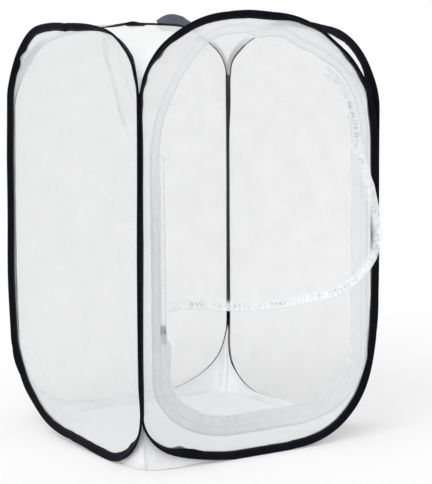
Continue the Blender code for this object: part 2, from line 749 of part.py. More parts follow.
def loop_band():
    """Webbing with its width upright, bowed away from the hoop and lifted in the middle."""
    maker = bmesh.new()
    half = WEBBING_THICKNESS / 2
    rings = []
    spots = loop_path()
    for index, (spot, upright) in enumerate(spots):
        before = spots[max(0, index - 1)][0]
        after = spots[min(len(spots) - 1, index + 1)][0]
        run = after - before
        out = Vector((run.y, -run.x, 0.0)).normalized() * half
        if index in (0, len(spots) - 1):
            out = Vector((0.0, -half, 0.0))
        up = upright * WEBBING_WIDTH
        corners = (spot - out, spot + out, spot + out + up, spot - out + up)
        rings.append([maker.verts.new(point) for point in corners])
    for first, second in zip(rings, rings[1:]):
        for side in range(4):
            after = (side + 1) % 4
            maker.faces.new((first[side], first[after], second[after], second[side]))
    maker.faces.new(rings[0])
    maker.faces.new(rings[-1])
    return maker


def loop_end(end):
    """One sewn end of the webbing, flat on the binding: -1 for the left end, 1 for the right."""
    half = WEBBING_THICKNESS / 2
    near = end * LOOP_HALF_SPAN
    far = end * (LOOP_HALF_SPAN + LOOP_FOOT_LENGTH)
    return block((min(near, far), -half, 0.0), (max(near, far), half, WEBBING_WIDTH))


def make_webbing_loop(back_panel, back_offset):
    """Loop and its sewn ends; X runs the other way on the back panel, which is seen from behind."""
    local_x = -LOOP_MIDDLE_X
    drop = drop_at(LOOP_MIDDLE_X, HOOP_HALF_WIDTH, HEAD_CORNER_REACH, HEAD_CORNER_DROP)
    height = CAGE_HEIGHT - drop - LOOP_BELOW_HOOP
    out = BINDING_HALF + CLEARANCE + WEBBING_THICKNESS / 2
    spot = Vector(back_offset) + Vector((local_x, -out, height))
    tilt = Matrix.Rotation(-LOOP_TILT, 4, "Y")
    turn = back_panel.matrix_world.to_3x3().to_4x4() @ tilt
    axis = empty("loop_axis", back_panel.matrix_world @ spot, turn, back_panel)
    add_object("webbing_loop_left_end", loop_end(-1), "grey_webbing", axis)
    add_object("webbing_loop_right_end", loop_end(1), "grey_webbing", axis)
    add_object("webbing_loop", loop_band(), "grey_webbing", axis)


def make_front(parent):
    make_hoop("front", parent, (0.0, 0.0, 0.0))
    make_front_mesh(parent)
    make_facing(parent)
    make_frame_zip(parent)
    make_window(parent)
    make_window_zip(parent)


def make_door_parts(front):
    foot, head = flap_line()
    along, away = flap_directions()
    flap_place = Vector((foot.x, -PANEL_PLANE, foot.y))
    flap_turn = math.atan2(along.y, along.x)
    flap_axis = empty("flap_axis", flap_place, Matrix.Rotation(-flap_turn, 4, "Y"), front)
    make_flap(flap_axis)
    slider_place = Vector((-DOOR_HALF_WIDTH + ZIP_MIDDLE_INSET, -PANEL_PLANE, SLIDER_HEIGHT))
    slider_axis = empty("slider_axis", slider_place, Matrix.Identity(4), front)
    make_slider(slider_axis)
    tab_place = slider_place + Vector((0.0, -bridge_depth(), 0.0))
    make_pull_tab(empty("tab_axis", tab_place, Matrix.Identity(4), slider_axis))


def main():
    clear_scene()
    front = empty("front_panel_axis", Vector((0.0, -PANEL_PLANE, 0.0)), Matrix.Identity(4))
    make_front(front)
    make_cloth(front)
    make_door_parts(front)

    left_turn = Matrix.Rotation(math.radians(-90), 4, "Z")
    left = empty("front_left_fold_axis", Vector((-FOLD_AXIS, -FOLD_AXIS, 0.0)), left_turn, front)
    hinge_on_right = (-FOLD_AXIS, -FOLD_INSET, 0.0)
    make_hoop("left", left, hinge_on_right)
    make_plain_mesh("left", left, hinge_on_right)

    back_turn = Matrix.Rotation(math.radians(180), 4, "Z")
    back = empty("back_left_fold_axis", Vector((-FOLD_AXIS, FOLD_AXIS, 0.0)), back_turn, left)
    make_hoop("back", back, hinge_on_right)
    make_plain_mesh("back", back, hinge_on_right)
    make_webbing_loop(back, hinge_on_right)

    right_turn = Matrix.Rotation(math.radians(90), 4, "Z")
    right = empty("front_right_fold_axis", Vector((FOLD_AXIS, -FOLD_AXIS, 0.0)), right_turn, front)
    hinge_on_left = (FOLD_AXIS, -FOLD_INSET, 0.0)
    make_hoop("right", right, hinge_on_left)
    make_plain_mesh("right", right, hinge_on_left)


main()
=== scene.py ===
"""Looks of the pop-up insect cage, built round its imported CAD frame.

Metres, +Z up, the door panel faces -Y. Each panel also has its own flat frame, seen from outside the cage:
x to the right, z up, and depth outward from the panel's plane.
"""

import math

import bpy
import numpy as np
from mathutils import Euler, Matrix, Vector, noise


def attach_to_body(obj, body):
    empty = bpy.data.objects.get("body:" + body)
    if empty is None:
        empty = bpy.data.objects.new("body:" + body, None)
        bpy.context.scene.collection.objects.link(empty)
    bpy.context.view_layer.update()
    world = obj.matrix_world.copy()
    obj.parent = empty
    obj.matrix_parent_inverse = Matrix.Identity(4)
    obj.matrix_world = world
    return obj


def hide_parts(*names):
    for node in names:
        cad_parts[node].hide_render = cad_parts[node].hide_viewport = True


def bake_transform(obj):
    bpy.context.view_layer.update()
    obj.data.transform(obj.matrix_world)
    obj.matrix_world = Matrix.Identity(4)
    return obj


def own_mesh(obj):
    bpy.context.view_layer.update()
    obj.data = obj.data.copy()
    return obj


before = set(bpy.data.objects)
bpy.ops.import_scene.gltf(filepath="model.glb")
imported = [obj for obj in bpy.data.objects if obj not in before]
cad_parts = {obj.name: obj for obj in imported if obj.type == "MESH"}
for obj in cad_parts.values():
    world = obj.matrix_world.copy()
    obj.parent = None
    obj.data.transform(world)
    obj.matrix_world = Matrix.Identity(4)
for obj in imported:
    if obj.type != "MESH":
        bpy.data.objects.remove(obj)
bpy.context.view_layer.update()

# The cage, as the CAD has it
PANEL_PLANE = 0.1975
CAGE_HALF = 0.200
CAGE_HEIGHT = 0.613
ACROSS = {"front": (1, 0), "left": (0, -1), "back": (-1, 0), "right": (0, 1)}

# The panel next to the right (True) or left half of a hoop. The back right corner is open and has none
NEIGHBOURS = {("front", False): "left", ("left", True): "front", ("left", False): "back",
              ("back", True): "left", ("front", True): "right", ("right", False): "front"}

# Each hoop's corners, seen from outside: how far in they reach, and how far up or down
HOOP_CORNERS = {
    "front": {"foot_right": (0.141, 0.155), "head_right": (0.180, 0.173),
              "head_left": (0.144, 0.139), "foot_left": (0.164, 0.079)},
    "left": {"foot_right": (0.097, 0.117), "head_right": (0.205, 0.116),
             "head_left": (0.187, 0.113), "foot_left": (0.190, 0.126)},
    "back": {"foot_right": (0.156, 0.107), "head_right": (0.184, 0.134),
             "head_left": (0.149, 0.084), "foot_left": (0.143, 0.115)},
    "right": {"foot_right": (0.110, 0.097), "head_right": (0.192, 0.095),
              "head_left": (0.196, 0.134), "foot_left": (0.131, 0.193)},
}

# How far each hoop bulges beyond those corners, in millimetres, at turns round it
HOOP_BULGES = {
    "front": [(0.02, 1.8), (0.07, -1.4), (0.11, 0.6), (0.14, 0.8), (0.175, -3.6), (0.21, 0.4),
              (0.25, 1.2), (0.315, -1.6), (0.335, -1.8), (0.352, -3.2), (0.37, -4.4), (0.388, -6.0),
              (0.405, -2.4), (0.435, 1.6), (0.50, 4.4), (0.55, 3.0), (0.58, 0.2), (0.605, -0.9),
              (0.63, 0.6), (0.66, 0.4), (0.70, -2.4), (0.75, 0.2), (0.80, 1.4), (0.84, -0.8), (0.87, 1.7),
              (0.91, -0.6), (0.94, 0.8), (0.975, 1.8)],
    "left": [(0.01, -4.6), (0.05, -0.4), (0.09, 0.0), (0.13, 4.2), (0.155, 3.4), (0.19, -1.6),
             (0.24, -1.4), (0.29, 2.6), (0.33, 3.4), (0.36, 1.8), (0.383, 1.0), (0.405, -5.4),
             (0.43, -9.6), (0.56, -9.6), (0.58, -5.6), (0.605, 0.8), (0.63, -2.6), (0.67, -9.6),
             (0.70, -6.2), (0.72, -2.4), (0.75, 0.0), (0.78, 4.0), (0.81, -1.6), (0.836, -8.6),
             (0.86, -6.4), (0.88, -7.4), (0.905, -5.0), (0.94, -6.4)],
    "back": [(0.0, -3.4), (0.06, -2.6), (0.11, 1.0), (0.145, -1.6), (0.17, -3.4), (0.195, -1.6),
             (0.22, 0.0), (0.25, 0.0), (0.345, -3.4), (0.38, 2.4), (0.40, -4.0), (0.425, -8.2),
             (0.45, -7.4), (0.467, -6.0), (0.485, -4.2), (0.50, -2.4), (0.516, -2.6), (0.533, -4.4),
             (0.565, -4.8), (0.577, -4.2), (0.59, -1.6), (0.602, 0.0), (0.66, 2.4), (0.70, 1.6),
             (0.75, 1.0), (0.85, -1.0), (0.95, -3.0)],
    "right": [(0.02, 3.4), (0.07, 1.0), (0.12, 1.8), (0.20, 0.0), (0.30, -0.6), (0.335, 2.6),
              (0.37, -0.4), (0.50, -2.0), (0.586, -4.6), (0.612, 2.2), (0.636, 3.2), (0.66, 0.8),
              (0.70, 0.4), (0.80, 0.0), (0.90, 0.0), (0.94, 3.6)],
}

# Turns round a hoop run from 0 at the middle of its foot, up its right side, to 1
FOOT_RIGHT, HEAD_RIGHT, HEAD_LEFT, FOOT_LEFT = 0.0625, 0.3125, 0.5625, 0.8125
CORNER_TURN = 0.125
OUTLINE_STEP = 0.003

# Tilt of each binding out of its panel's plane, in degrees, at turns round its hoop
BINDING_TILT = {
    "front": [(0.0, 14), (0.08, 20), (0.20, 45), (0.322, 45), (0.345, 96), (0.392, 98), (0.415, 66),
              (0.44, 26), (0.5, 20), (0.60, 24), (0.63, 40), (0.66, 45), (0.80, 45), (0.84, 66),
              (0.87, 56), (0.895, 16)],
    "left": [(0.0, 12), (0.10, 18), (0.17, 40), (0.31, 45), (0.335, 30), (0.36, 64), (0.40, 56),
             (0.43, 20), (0.5, 14), (0.58, 16), (0.66, 36), (0.80, 45), (0.88, 30), (0.94, 16)],
    "back": [(0.0, 20), (0.12, 34), (0.20, 45), (0.33, 45), (0.40, 70), (0.470, 80), (0.488, 56),
             (0.526, 56), (0.545, 80), (0.595, 78), (0.625, 42), (0.66, 36), (0.69, 48), (0.715, 56),
             (0.80, 56), (0.83, 45), (0.90, 30)],
    "right": [(0.0, 18), (0.10, 26), (0.185, 40), (0.20, 34), (0.28, 34), (0.305, 16), (0.33, 2),
              (0.40, 4), (0.44, 14), (0.5, 24), (0.58, 30), (0.66, 34), (0.70, 45), (0.82, 45), (0.90, 24)],
}

# Puckers in each binding: turn, half its length as a share of a turn, and how far its inner edge swells
BINDING_PUCKERS = {
    "front": [(0.370, 0.006, 0.0036), (0.353, 0.005, 0.0018), (0.632, 0.006, 0.0044),
              (0.657, 0.004, 0.0034), (0.676, 0.006, 0.0030), (0.884, 0.005, 0.0034),
              (0.896, 0.005, 0.0022)],
    "left": [(0.338, 0.007, 0.0038), (0.630, 0.005, 0.0026), (0.652, 0.004, 0.0020),
             (0.118, 0.005, 0.0018)],
    "back": [(0.507, 0.014, 0.0020), (0.36, 0.006, 0.0022)],
    "right": [(0.610, 0.006, 0.0026), (0.66, 0.005, 0.0018)],
}

# Binding tape
BINDING_WIDTH = 0.012
BINDING_STEP = 0.0032
BINDING_PROFILE = [(0.0, 0.0010), (0.0006, 0.00155), (0.0020, 0.00175), (0.0034, 0.00140),
                   (0.0056, 0.00105), (0.0084, 0.00085), (0.0096, 0.00060), (0.0105, 0.00078),
                   (0.0117, 0.00070), (0.0120, 0.00020)]
SEWN_SHARE = 0.86
PAIR_OFFSET = 0.0016
SIDE_HALF_TURN, SIDE_FADE = 0.06, 0.05
BINDING_TWIST_DEGREES = 4
BINDING_SCALLOP = 0.00035
PUCKER_THICKENING = 480
SLEEVE_RADIUS, SLEEVE_HALF, SLEEVE_CRIMP = 0.0014, 0.008, 0.86
WIRE_RADIUS = 0.0009
WIRE_INSET = 0.0018
STITCH_INSET = 0.0097
STITCH_PITCH = 0.0042

# Netting and cloth
NET_COLUMNS, NET_ROWS = 76, 120
NET_CELL = 0.0012
CLOTH_CELLS = 72
TAUT_STEPS = 1500
BASE_HALF = 0.1905
BASE_CORNER_HALF = 0.1975
BASE_CORNER_RADIUS, BASE_TAUT_CORNER_RADIUS = 0.060, 0.140
BASE_SEWN_SHARE, BASE_INSIDE = 1.10, 0.0012
BASE_PLEAT = 0.003
BASE_LIFT = 0.0005
CURTAIN_ROWS, FLOOR_ROWS = 12, 26
INNER_TAPE_LIFT = 0.0022
INNER_TAPES = [("back", 0.604, 0.70), ("right", 0.303, 0.42), ("back", 0.31, 0.44)]
INNER_TAPE_THIN_BELOW, INNER_TAPE_THICK_ABOVE = 0.570, 0.584

# Pulls in the netting: from and to, half the width of each fold, its height, in the panel's own frame
NET_FOLDS = {
    "left": [((0.086, 0.606), (0.187, 0.450), 0.0036, 0.0080),
             ((0.108, 0.597), (0.190, 0.430), 0.0029, 0.0068),
             ((0.074, 0.608), (0.176, 0.470), 0.0043, -0.0057),
             ((0.120, 0.590), (0.190, 0.480), 0.0025, -0.0057),
             ((-0.040, 0.600), (-0.150, 0.545), 0.0050, 0.0076),
             ((-0.150, 0.545), (-0.186, 0.470), 0.0043, 0.0065),
             ((-0.060, 0.608), (-0.165, 0.560), 0.0036, -0.0057),
             ((-0.120, 0.590), (-0.180, 0.400), 0.0043, 0.0046),
             ((-0.175, 0.120), (-0.060, 0.018), 0.0058, 0.0068),
             ((-0.160, 0.150), (-0.040, 0.030), 0.0050, -0.0049),
             ((0.150, 0.300), (0.188, 0.120), 0.0065, 0.0046),
             ((-0.030, 0.606), (0.010, 0.300), 0.0101, 0.0038)],
    "front": [((-0.150, 0.585), (-0.186, 0.480), 0.0050, 0.0024),
              ((0.120, 0.600), (0.186, 0.500), 0.0050, 0.0024)],
    "back": [((0.030, 0.608), (0.150, 0.440), 0.0080, 0.0040),
             ((-0.100, 0.606), (-0.186, 0.450), 0.0060, 0.0034),
             ((-0.180, 0.200), (-0.060, 0.020), 0.0090, 0.0034),
             ((0.176, 0.150), (0.050, 0.020), 0.0090, 0.0030),
             ((-0.020, 0.600), (-0.140, 0.330), 0.0120, 0.0030)],
    "right": [((-0.110, 0.603), (-0.184, 0.460), 0.0060, 0.0040),
              ((0.070, 0.608), (0.186, 0.500), 0.0070, 0.0036),
              ((-0.186, 0.260), (-0.060, 0.030), 0.0090, 0.0036),
              ((0.184, 0.120), (0.060, 0.018), 0.0080, -0.0030),
              ((-0.080, 0.600), (0.020, 0.300), 0.0120, 0.0030)],
}

# Door, as the CAD has it apart from its own head corners
DOOR_HALF_WIDTH = 0.1815
DOOR_CORNERS = {"foot_right": (0.132, 0.092), "head_right": (0.180, 0.160),
                "head_left": (0.136, 0.195), "foot_left": (0.132, 0.092)}
DOOR_SILL, DOOR_HEAD = 0.0346, 0.597
DOOR_BULGES = [(0.02, 0.0), (0.30, 0.0), (0.35, 1.4), (0.367, 1.4), (0.384, -3.4), (0.397, -4.6),
               (0.407, -6.4), (0.4235, 0.0), (0.4465, -3.0), (0.475, -0.6), (0.52, 3.6), (0.57, 2.6),
               (0.595, 1.8), (0.61, -1.0), (0.635, -1.8), (0.66, 1.4), (0.70, 0.0), (0.90, 0.0)]
FACING_WIDTH = 0.0145
FACING_GAP = 0.0003
FILM_INSET = 0.0227
FILM_ROWS, FILM_COLUMNS = 110, 80
FILM_RIPPLE, FILM_HELD_EDGE = 0.0016, 0.03
FACING_STITCH_ROWS = (0.0022, 0.0126)
FACING_WAVE = 0.0009
ZIP_TAPE_SWAY, ZIP_TAPE_RISE = 0.0016, 0.0026
ZIP_TAPE_WIDTH = 0.0138
ZIP_TAPE_FOLDED = 0.0010
ZIP_START_HEIGHT = 0.486
ZIP_END_HEIGHT = 0.423
SLIDER_FOOT = 0.187
WINDOW_COIL_INSET, WINDOW_TAPE_INSET = 0.0203, 0.0212
FLAP_FOOT = Vector((-0.1588, 0.2115))
FLAP_HEAD = Vector((0.13579, 0.52079))
FLAP_RADIUS = 0.182
FLAP_CORNER = 0.093
FLAP_SIDE = 0.1638
EDGING_WIDTH = 0.0165

# How far the flap's free edge bulges, in millimetres, at lengths along it from the slider
FLAP_BULGES = [(0.0, -2.0), (0.014, -5.0), (0.031, -6.3), (0.055, -4.4), (0.079, -0.7), (0.104, 2.4),
               (0.137, 4.3), (0.162, 5.2), (0.196, 4.5), (0.230, 2.8), (0.27, 0.5), (0.33, 0.0),
               (0.37, 1.0), (0.41, 3.0), (0.435, 3.0), (0.46, 0.0), (0.485, -3.4), (0.51, -4.4),
               (0.54, -2.4), (0.58, 0.0)]

# Webbing loop: its place on the back hoop, its band and its folded ends
LOOP_X, LOOP_Z, LOOP_TILT = 0.10679, 0.5871, math.radians(9)
LOOP_DEPTH = 0.2011
LOOP_LEAN = [(-1.0, 24), (-0.3, 4), (0.1, 0), (1.0, 49)]
LOOP_SPAN, LOOP_FOOT_LENGTH = 0.0290, 0.010
LOOP_RISE, LOOP_BASE_DEPTH, LOOP_BOW, LOOP_LIFT = 0.0050, 0.0035, 0.010, 0.004
LOOP_FOLD = [(0.0042, 0.0095), (0.0042, 0.012), (0.0036, 0.0150),
             (0.0006, 0.0176), (-0.0060, 0.0172), (-0.0098, 0.0162)]
WEBBING_WIDTH, WEBBING_THICKNESS = 0.028, 0.0014

# Colours of cloth in pairs, and how much each covers and lets through
NET_COLOURS = (0.93, 0.935, 0.95), (0.96, 0.965, 0.97)
# Netting of the back and right panels: the same netting, painted darker and a little denser as painted shade
PAINTED_SHADE_NET_COLOURS = (0.70, 0.705, 0.72), (0.76, 0.765, 0.78)
NET_COVER, PAINTED_SHADE_NET_COVER, NET_THREAD_COVER = 0.18, 0.22, 0.52
TOP_COLOURS = (0.95, 0.955, 0.965), (0.98, 0.98, 0.985)
TOP_COVER, TOP_THROUGH = 0.62, 0.25
BASE_COLOURS = (0.955, 0.96, 0.97), (0.98, 0.98, 0.985)
BASE_COVER, BASE_THROUGH = 0.93, 0.08
# Grey of the door's tapes low down on the left: painted shade
TAPE_PAINTED_SHADE_COLOUR = (0.70, 0.705, 0.73)
FACING_COLOUR, ZIP_TAPE_COLOUR = (0.90, 0.905, 0.92), (0.88, 0.885, 0.90)

# Pitch of each weave
TWILL_PITCH, TWILL_CROSS_PITCH = 0.0011, 0.0016
TAFFETA_PITCH, TAPE_PITCH = 0.0007, 0.0008
WEBBING_RIB_PITCH, WEBBING_YARN_PITCH = 0.0013, 0.0009

# Camera, fitted to the photograph's hoops
CAMERA_PLACE = Vector((-1.21604, -1.97031, 0.5525))
CAMERA_AIM = Vector((0.53631, 0.83596, -0.11640))
CAMERA_ROLL = math.radians(-0.41)
CAMERA_FOCAL_PIXELS = 1565.3
FRAME_HEIGHT_PIXELS = 484

# Light, where 1 is the level at which a colour shows as written
STUDIO_LEVEL = 0.86
KEY_LEVEL = 0.38
KEY_FROM = Vector((-0.75, -0.40, 0.80))
KEY_ANGLE = math.radians(50)
FLOOR_COLOUR = (0.72, 0.72, 0.72, 1.0)
FLOOR_GLOW = 0.195


# Geometry helpers

def smooth(share):
    share = max(0.0, min(1.0, share))
    return share * share * (3 - 2 * share)


def mix(a, b, share):
    return a + (b - a) * share


def wobble(seed, spot, size):
    """Smooth noise from -1 to 1 that changes over about the given length. The seed picks its pattern."""
    return noise.noise(Vector((spot[0] / size + 17.3 * seed, spot[1] / size - 5.1 * seed, 3.7 * seed)))


def key_before(keys, turn):
    """Number of the key before a turn, on keys that go once round, and the share of the way to the next."""
    count = len(keys)
    for index in range(count):
        start, end = keys[index][0], keys[(index + 1) % count][0] + (index == count - 1)
        for place in (turn % 1.0, turn % 1.0 + 1.0):
            if start <= place <= end:
                return index, (place - start) / (end - start)
    return 0, 0.0


def keyed(keys, turn):
    """Value at a turn, eased between keys."""
    index, share = key_before(keys, turn)
    return mix(keys[index][1], keys[(index + 1) % len(keys)][1], smooth(share))


def eased(keys, reach):
    """Value at a length, eased between keys and held beyond them."""
    for (start, first), (end, last) in zip(keys, keys[1:]):
        if start <= reach <= end:
            return mix(first, last, smooth((reach - start) / (end - start)))
    return keys[0][1] if reach < keys[0][0] else keys[-1][1]


def curved(keys, turn):
    """Value at a turn on a smooth curve through keys."""
    index, share = key_before(keys, turn)
    before, first, last, after = (keys[(index + step) % len(keys)][1] for step in (-1, 0, 1, 2))
    rise, fall = (last - before) / 2, (after - first) / 2
    return (first * (1 + share * share * (2 * share - 3)) + last * share * share * (3 - 2 * share)
            + rise * share * (1 - share) ** 2 - fall * share * share * (1 - share))


def to_world(side, x, z, depth=0.0):
    """A point of a panel's own frame in the cage's frame."""
    ax, ay = ACROSS[side]
    reach = PANEL_PLANE + depth
    return Vector((ax * x + ay * reach, ay * x - ax * reach, z))


def add_object(name, data):
    made = bpy.data.objects.new(name, data)
    bpy.context.scene.collection.objects.link(made)
    return made


def add_mesh(name, points, faces, material):
    mesh = bpy.data.meshes.new(name)
    mesh.from_pydata(points, [], faces)
    mesh.polygons.foreach_set("use_smooth", [True] * len(faces))
    mesh.materials.append(material)
    return add_object(name, mesh)


def add_surface(name, rows, place_on_cloth, material, wrap=False):
    """A smooth mesh through rows of points. place_on_cloth gives each row and column its place in metres."""
    width = len(rows[0])
    columns = width if wrap else width - 1
    faces, corners = [], []
    for row in range(len(rows) - 1):
        for column in range(columns):
            after = (column + 1) % width
            faces.append((row * width + column, row * width + after,
                          (row + 1) * width + after, (row + 1) * width + column))
            corners += [(row, column), (row, column + 1), (row + 1, column + 1), (row + 1, column)]
    made = add_mesh(name, [point for row in rows for point in row], faces, material)
    layer = made.data.uv_layers.new(name="on_cloth")
    for loop, (row, column) in zip(layer.data, corners):
        loop.uv = place_on_cloth(row, column)
    return made


def add_placed(name, cells, material):
    """A smooth mesh through rows of points, each paired with its place on the cloth."""
    rows = [[point for point, place in line] for line in cells]
    return add_surface(name, rows, lambda row, column: cells[row][column][1], material)


def round_ring(centre, one_way, other_way, radius, other_radius, count):
    """Points round a section, from its centre and two directions."""
    ring = []
    for step in range(count):
        angle = 2 * math.pi * step / count
        ring.append(centre + one_way * (radius * math.cos(angle))
                    + other_way * (other_radius * math.sin(angle)))
    return ring


def reaches_along(spots):
    """Length along a line up to each of its spots."""
    reaches = [0.0]
    for first, last in zip(spots, spots[1:]):
        reaches.append(reaches[-1] + (last - first).length)
    return reaches


def even_stops(reaches, step):
    """Stops at even spacing along a line: the number of the spot before, the share beyond it, the reach."""
    count = max(2, round(reaches[-1] / step))
    index = 0
    for number in range(count + 1):
        reach = reaches[-1] * number / count
        while index < len(reaches) - 2 and reaches[index + 1] < reach:
            index += 1
        yield index, (reach - reaches[index]) / max(1e-9, reaches[index + 1] - reaches[index]), reach


def spaced(points, step):
    """Points at even spacing along a flat line, each with its reach along the line as a last value."""
    made = []
    for index, share, reach in even_stops(reaches_along([Vector(point[:2]) for point in points]), step):
        made.append(tuple(mix(a, b, share) for a, b in zip(points[index], points[index + 1])) + (reach,))
    return made


def spaced_3d(spots, step):
    """Spots at even spacing along a line through space."""
    stops = even_stops(reaches_along(spots), step)
    return [spots[index].lerp(spots[index + 1], share) for index, share, reach in stops]


# Outlines

# Outer edges of the four hoops, kept once made
hoops = {}


def corner_points(corners, half_width, foot, head, steps=28):
    """(x, z, normal x, normal z, turn) round a shape, from the middle of its foot."""
    order = [("foot_right", 1, -1, FOOT_RIGHT), ("head_right", 1, 1, HEAD_RIGHT),
             ("head_left", -1, 1, HEAD_LEFT), ("foot_left", -1, -1, FOOT_LEFT)]
    points = [(0.0, foot, 0.0, -1.0, 0.0)]
    for index, (name, side_x, side_z, start) in enumerate(order):
        reach, rise = corners[name]
        centre_x = side_x * (half_width - reach)
        centre_z = foot + rise if side_z < 0 else head - rise
        for step in range(steps + 1):
            angle = math.pi / 2 * (index - 1 + step / steps)
            nx, nz = math.cos(angle) / reach, math.sin(angle) / rise
            size = math.hypot(nx, nz)
            points.append((centre_x + reach * math.cos(angle), centre_z + rise * math.sin(angle),
                           nx / size, nz / size, start + CORNER_TURN * step / steps))
    points.append((0.0, foot, 0.0, -1.0, 1.0))
    return points


def bulged_hoop(side):
    """Outer edge of a hoop's binding, with its bulges."""
    plain = spaced(corner_points(HOOP_CORNERS[side], CAGE_HALF, 0.0, CAGE_HEIGHT), OUTLINE_STEP)
    moved = []
    for x, z, nx, nz, turn, reach in plain:
        bulge = curved(HOOP_BULGES[side], turn) / 1000
        moved.append(Vector((x + nx * bulge, max(0.0, z + nz * bulge))))
    points = []
    for index, spot in enumerate(moved):
        run = (moved[(index + 1) % (len(moved) - 1)] - moved[index - 1 if index else -2]).normalized()
        points.append((spot.x, spot.y, run.y, -run.x, plain[index][4]))
    return points


def hoop_points(side):
    if side not in hoops:
        hoops[side] = bulged_hoop(side)
    return hoops[side]


def door_points():
    """Outer edge of the door's facing, with its bulges."""
    points = []
    plain = corner_points(DOOR_CORNERS, DOOR_HALF_WIDTH, DOOR_SILL, DOOR_HEAD)
    for x, z, nx, nz, turn, reach in spaced(plain, OUTLINE_STEP):
        bulge = curved(DOOR_BULGES, turn) / 1000
        points.append((x + nx * bulge, z + nz * bulge, nx, nz, turn))
    return points


def inset_from(point, inset):
    """x and z at a distance in from a point of an outline."""
    x, z, nx, nz = point[:4]
    return x - nx * inset, z - nz * inset


def beside_edge(turn):
    """1 along a hoop's upright sides, where two bindings meet face to face, and 0 at its head and foot."""
    turn %= 1.0
    distance = min(abs(turn - 0.25), abs(turn - 0.75))
    return 1 - smooth((distance - SIDE_HALF_TURN) / SIDE_FADE)


def binding_frame(side, point):
    """Outer edge of the binding, the way in from it, and its thickness direction, in the panel's frame."""
    x, z, nx, nz, turn = point[:5]
    twist = BINDING_TWIST_DEGREES * wobble(len(side), (turn * 40, 0.0), 1.0)
    tilt = math.radians(keyed(BINDING_TILT[side], turn) + twist)
    outward = Vector((nx * math.cos(tilt), nz * math.cos(tilt), math.sin(tilt)))
    across = Vector((-nx * math.sin(tilt), -nz * math.sin(tilt), math.cos(tilt)))
    beside = beside_edge(turn)
    origin = Vector((x, z, (CAGE_HALF - PANEL_PLANE) * beside)) + across * (PAIR_OFFSET * beside)
    return origin, -outward, across


def binding_root(side, point, share=SEWN_SHARE, inside=0.0):
    """Where netting and cloth are sewn into the binding, or how far on the cage's side of it."""
    origin, inward, across = binding_frame(side, point)
    return origin + inward * (BINDING_WIDTH * share) - across * inside


def pucker(side, turn):
    """How far a binding's inner edge swells at a turn."""
    swell = 0.0
    for middle, half, size in BINDING_PUCKERS[side]:
        swell += size * math.exp(-(((turn - middle) / half) ** 2))
    return swell


# Materials

class Graph:
    """Short ways to add nodes to a node tree."""

    def __init__(self, tree):
        self.tree = tree

    def node(self, kind, **settings):
        made = self.tree.nodes.new(kind)
        for key, value in settings.items():
            setattr(made, key, value)
        return made

    def feed(self, socket, value):
        if isinstance(value, bpy.types.NodeSocket):
            self.tree.links.new(value, socket)
        else:
            socket.default_value = value

    def math(self, operation, first, second=0.0, third=0.0):
        made = self.node("ShaderNodeMath", operation=operation)
        for socket, value in zip(made.inputs, (first, second, third)):
            self.feed(socket, value)
        return made.outputs[0]

    def plus(self, first, second):
        return self.math("ADD", first, second)

    def times(self, first, second):
        return self.math("MULTIPLY", first, second)

    def on_cloth(self):
        """Place on the cloth in metres, whole and as its two parts."""
        place = self.node("ShaderNodeUVMap", uv_map="on_cloth").outputs[0]
        parts = self.node("ShaderNodeSeparateXYZ")
        self.feed(parts.inputs[0], place)
        return place, parts.outputs[0], parts.outputs[1]

    def in_object(self):
        return self.node("ShaderNodeTexCoord").outputs["Object"]

    def noise(self, place, size, detail=3.0, roughness=0.55):
        made = self.node("ShaderNodeTexNoise")
        self.feed(made.inputs["Vector"], place)
        made.inputs["Scale"].default_value = 1 / size
        made.inputs["Detail"].default_value = detail
        made.inputs["Roughness"].default_value = roughness
        return made.outputs["Fac"]

    def ribs(self, length, pitch, offset=0.0):
        """0 to 1 ribs along a length in metres."""
        turns = self.math("MULTIPLY_ADD", length, 2 * math.pi / pitch, offset)
        return self.math("MULTIPLY_ADD", self.math("SINE", turns), 0.5, 0.5)

    def spread(self, value, low=0.3, high=0.7, to_low=0.0, to_high=1.0):
        made = self.node("ShaderNodeMapRange")
        for socket, number in zip(made.inputs, (value, low, high, to_low, to_high)):
            self.feed(socket, number)
        return made.outputs[0]

    def blend(self, share, first, second):
        made = self.node("ShaderNodeMix", data_type="RGBA")
        self.feed(made.inputs[0], share)
        self.feed(made.inputs[6], (*first, 1.0) if isinstance(first, tuple) else first)
        self.feed(made.inputs[7], (*second, 1.0) if isinstance(second, tuple) else second)
        return made.outputs[2]


class Surface(Graph):
    """A material built round its main shader."""

    def __init__(self, name, colour, roughness, **sockets):
        self.material = bpy.data.materials.new(name)
        self.material.use_nodes = True
        super().__init__(self.material.node_tree)
        self.shader = self.tree.nodes["Principled BSDF"]
        self.shader.inputs["Base Color"].default_value = (*colour, 1.0)
        self.shader.inputs["Roughness"].default_value = roughness
        for socket, value in sockets.items():
            self.shader.inputs[socket.replace("_", " ")].default_value = value

    def paint(self, colour):
        self.feed(self.shader.inputs["Base Color"], colour)

    def roughen(self, roughness):
        self.feed(self.shader.inputs["Roughness"], roughness)

    def sheer(self, cover, through, colour):
        """Makes the cloth see-through between its threads and lets light through them."""
        glowing = self.node("ShaderNodeBsdfTranslucent")
        self.feed(glowing.inputs["Color"], colour)
        body = self.node("ShaderNodeMixShader")
        for socket, value in zip(body.inputs, (through, self.shader.outputs[0], glowing.outputs[0])):
            self.feed(socket, value)
        clear = self.node("ShaderNodeBsdfTransparent")
        whole = self.node("ShaderNodeMixShader")
        for socket, value in zip(whole.inputs, (cover, clear.outputs[0], body.outputs[0])):
            self.feed(socket, value)
        self.feed(self.tree.nodes["Material Output"].inputs["Surface"], whole.outputs[0])

    def bump(self, height, distance, strength=1.0):
        made = self.node("ShaderNodeBump")
        made.inputs["Distance"].default_value = distance
        made.inputs["Strength"].default_value = strength
        self.feed(made.inputs["Height"], height)
        self.feed(self.shader.inputs["Normal"], made.outputs[0])


def weave(graph, u, v, pitch):
    """Over-and-under height of a plain weave."""
    over = graph.ribs(u, pitch)
    under = graph.ribs(v, pitch, math.pi / 2)
    return graph.math("MAXIMUM", over, under)


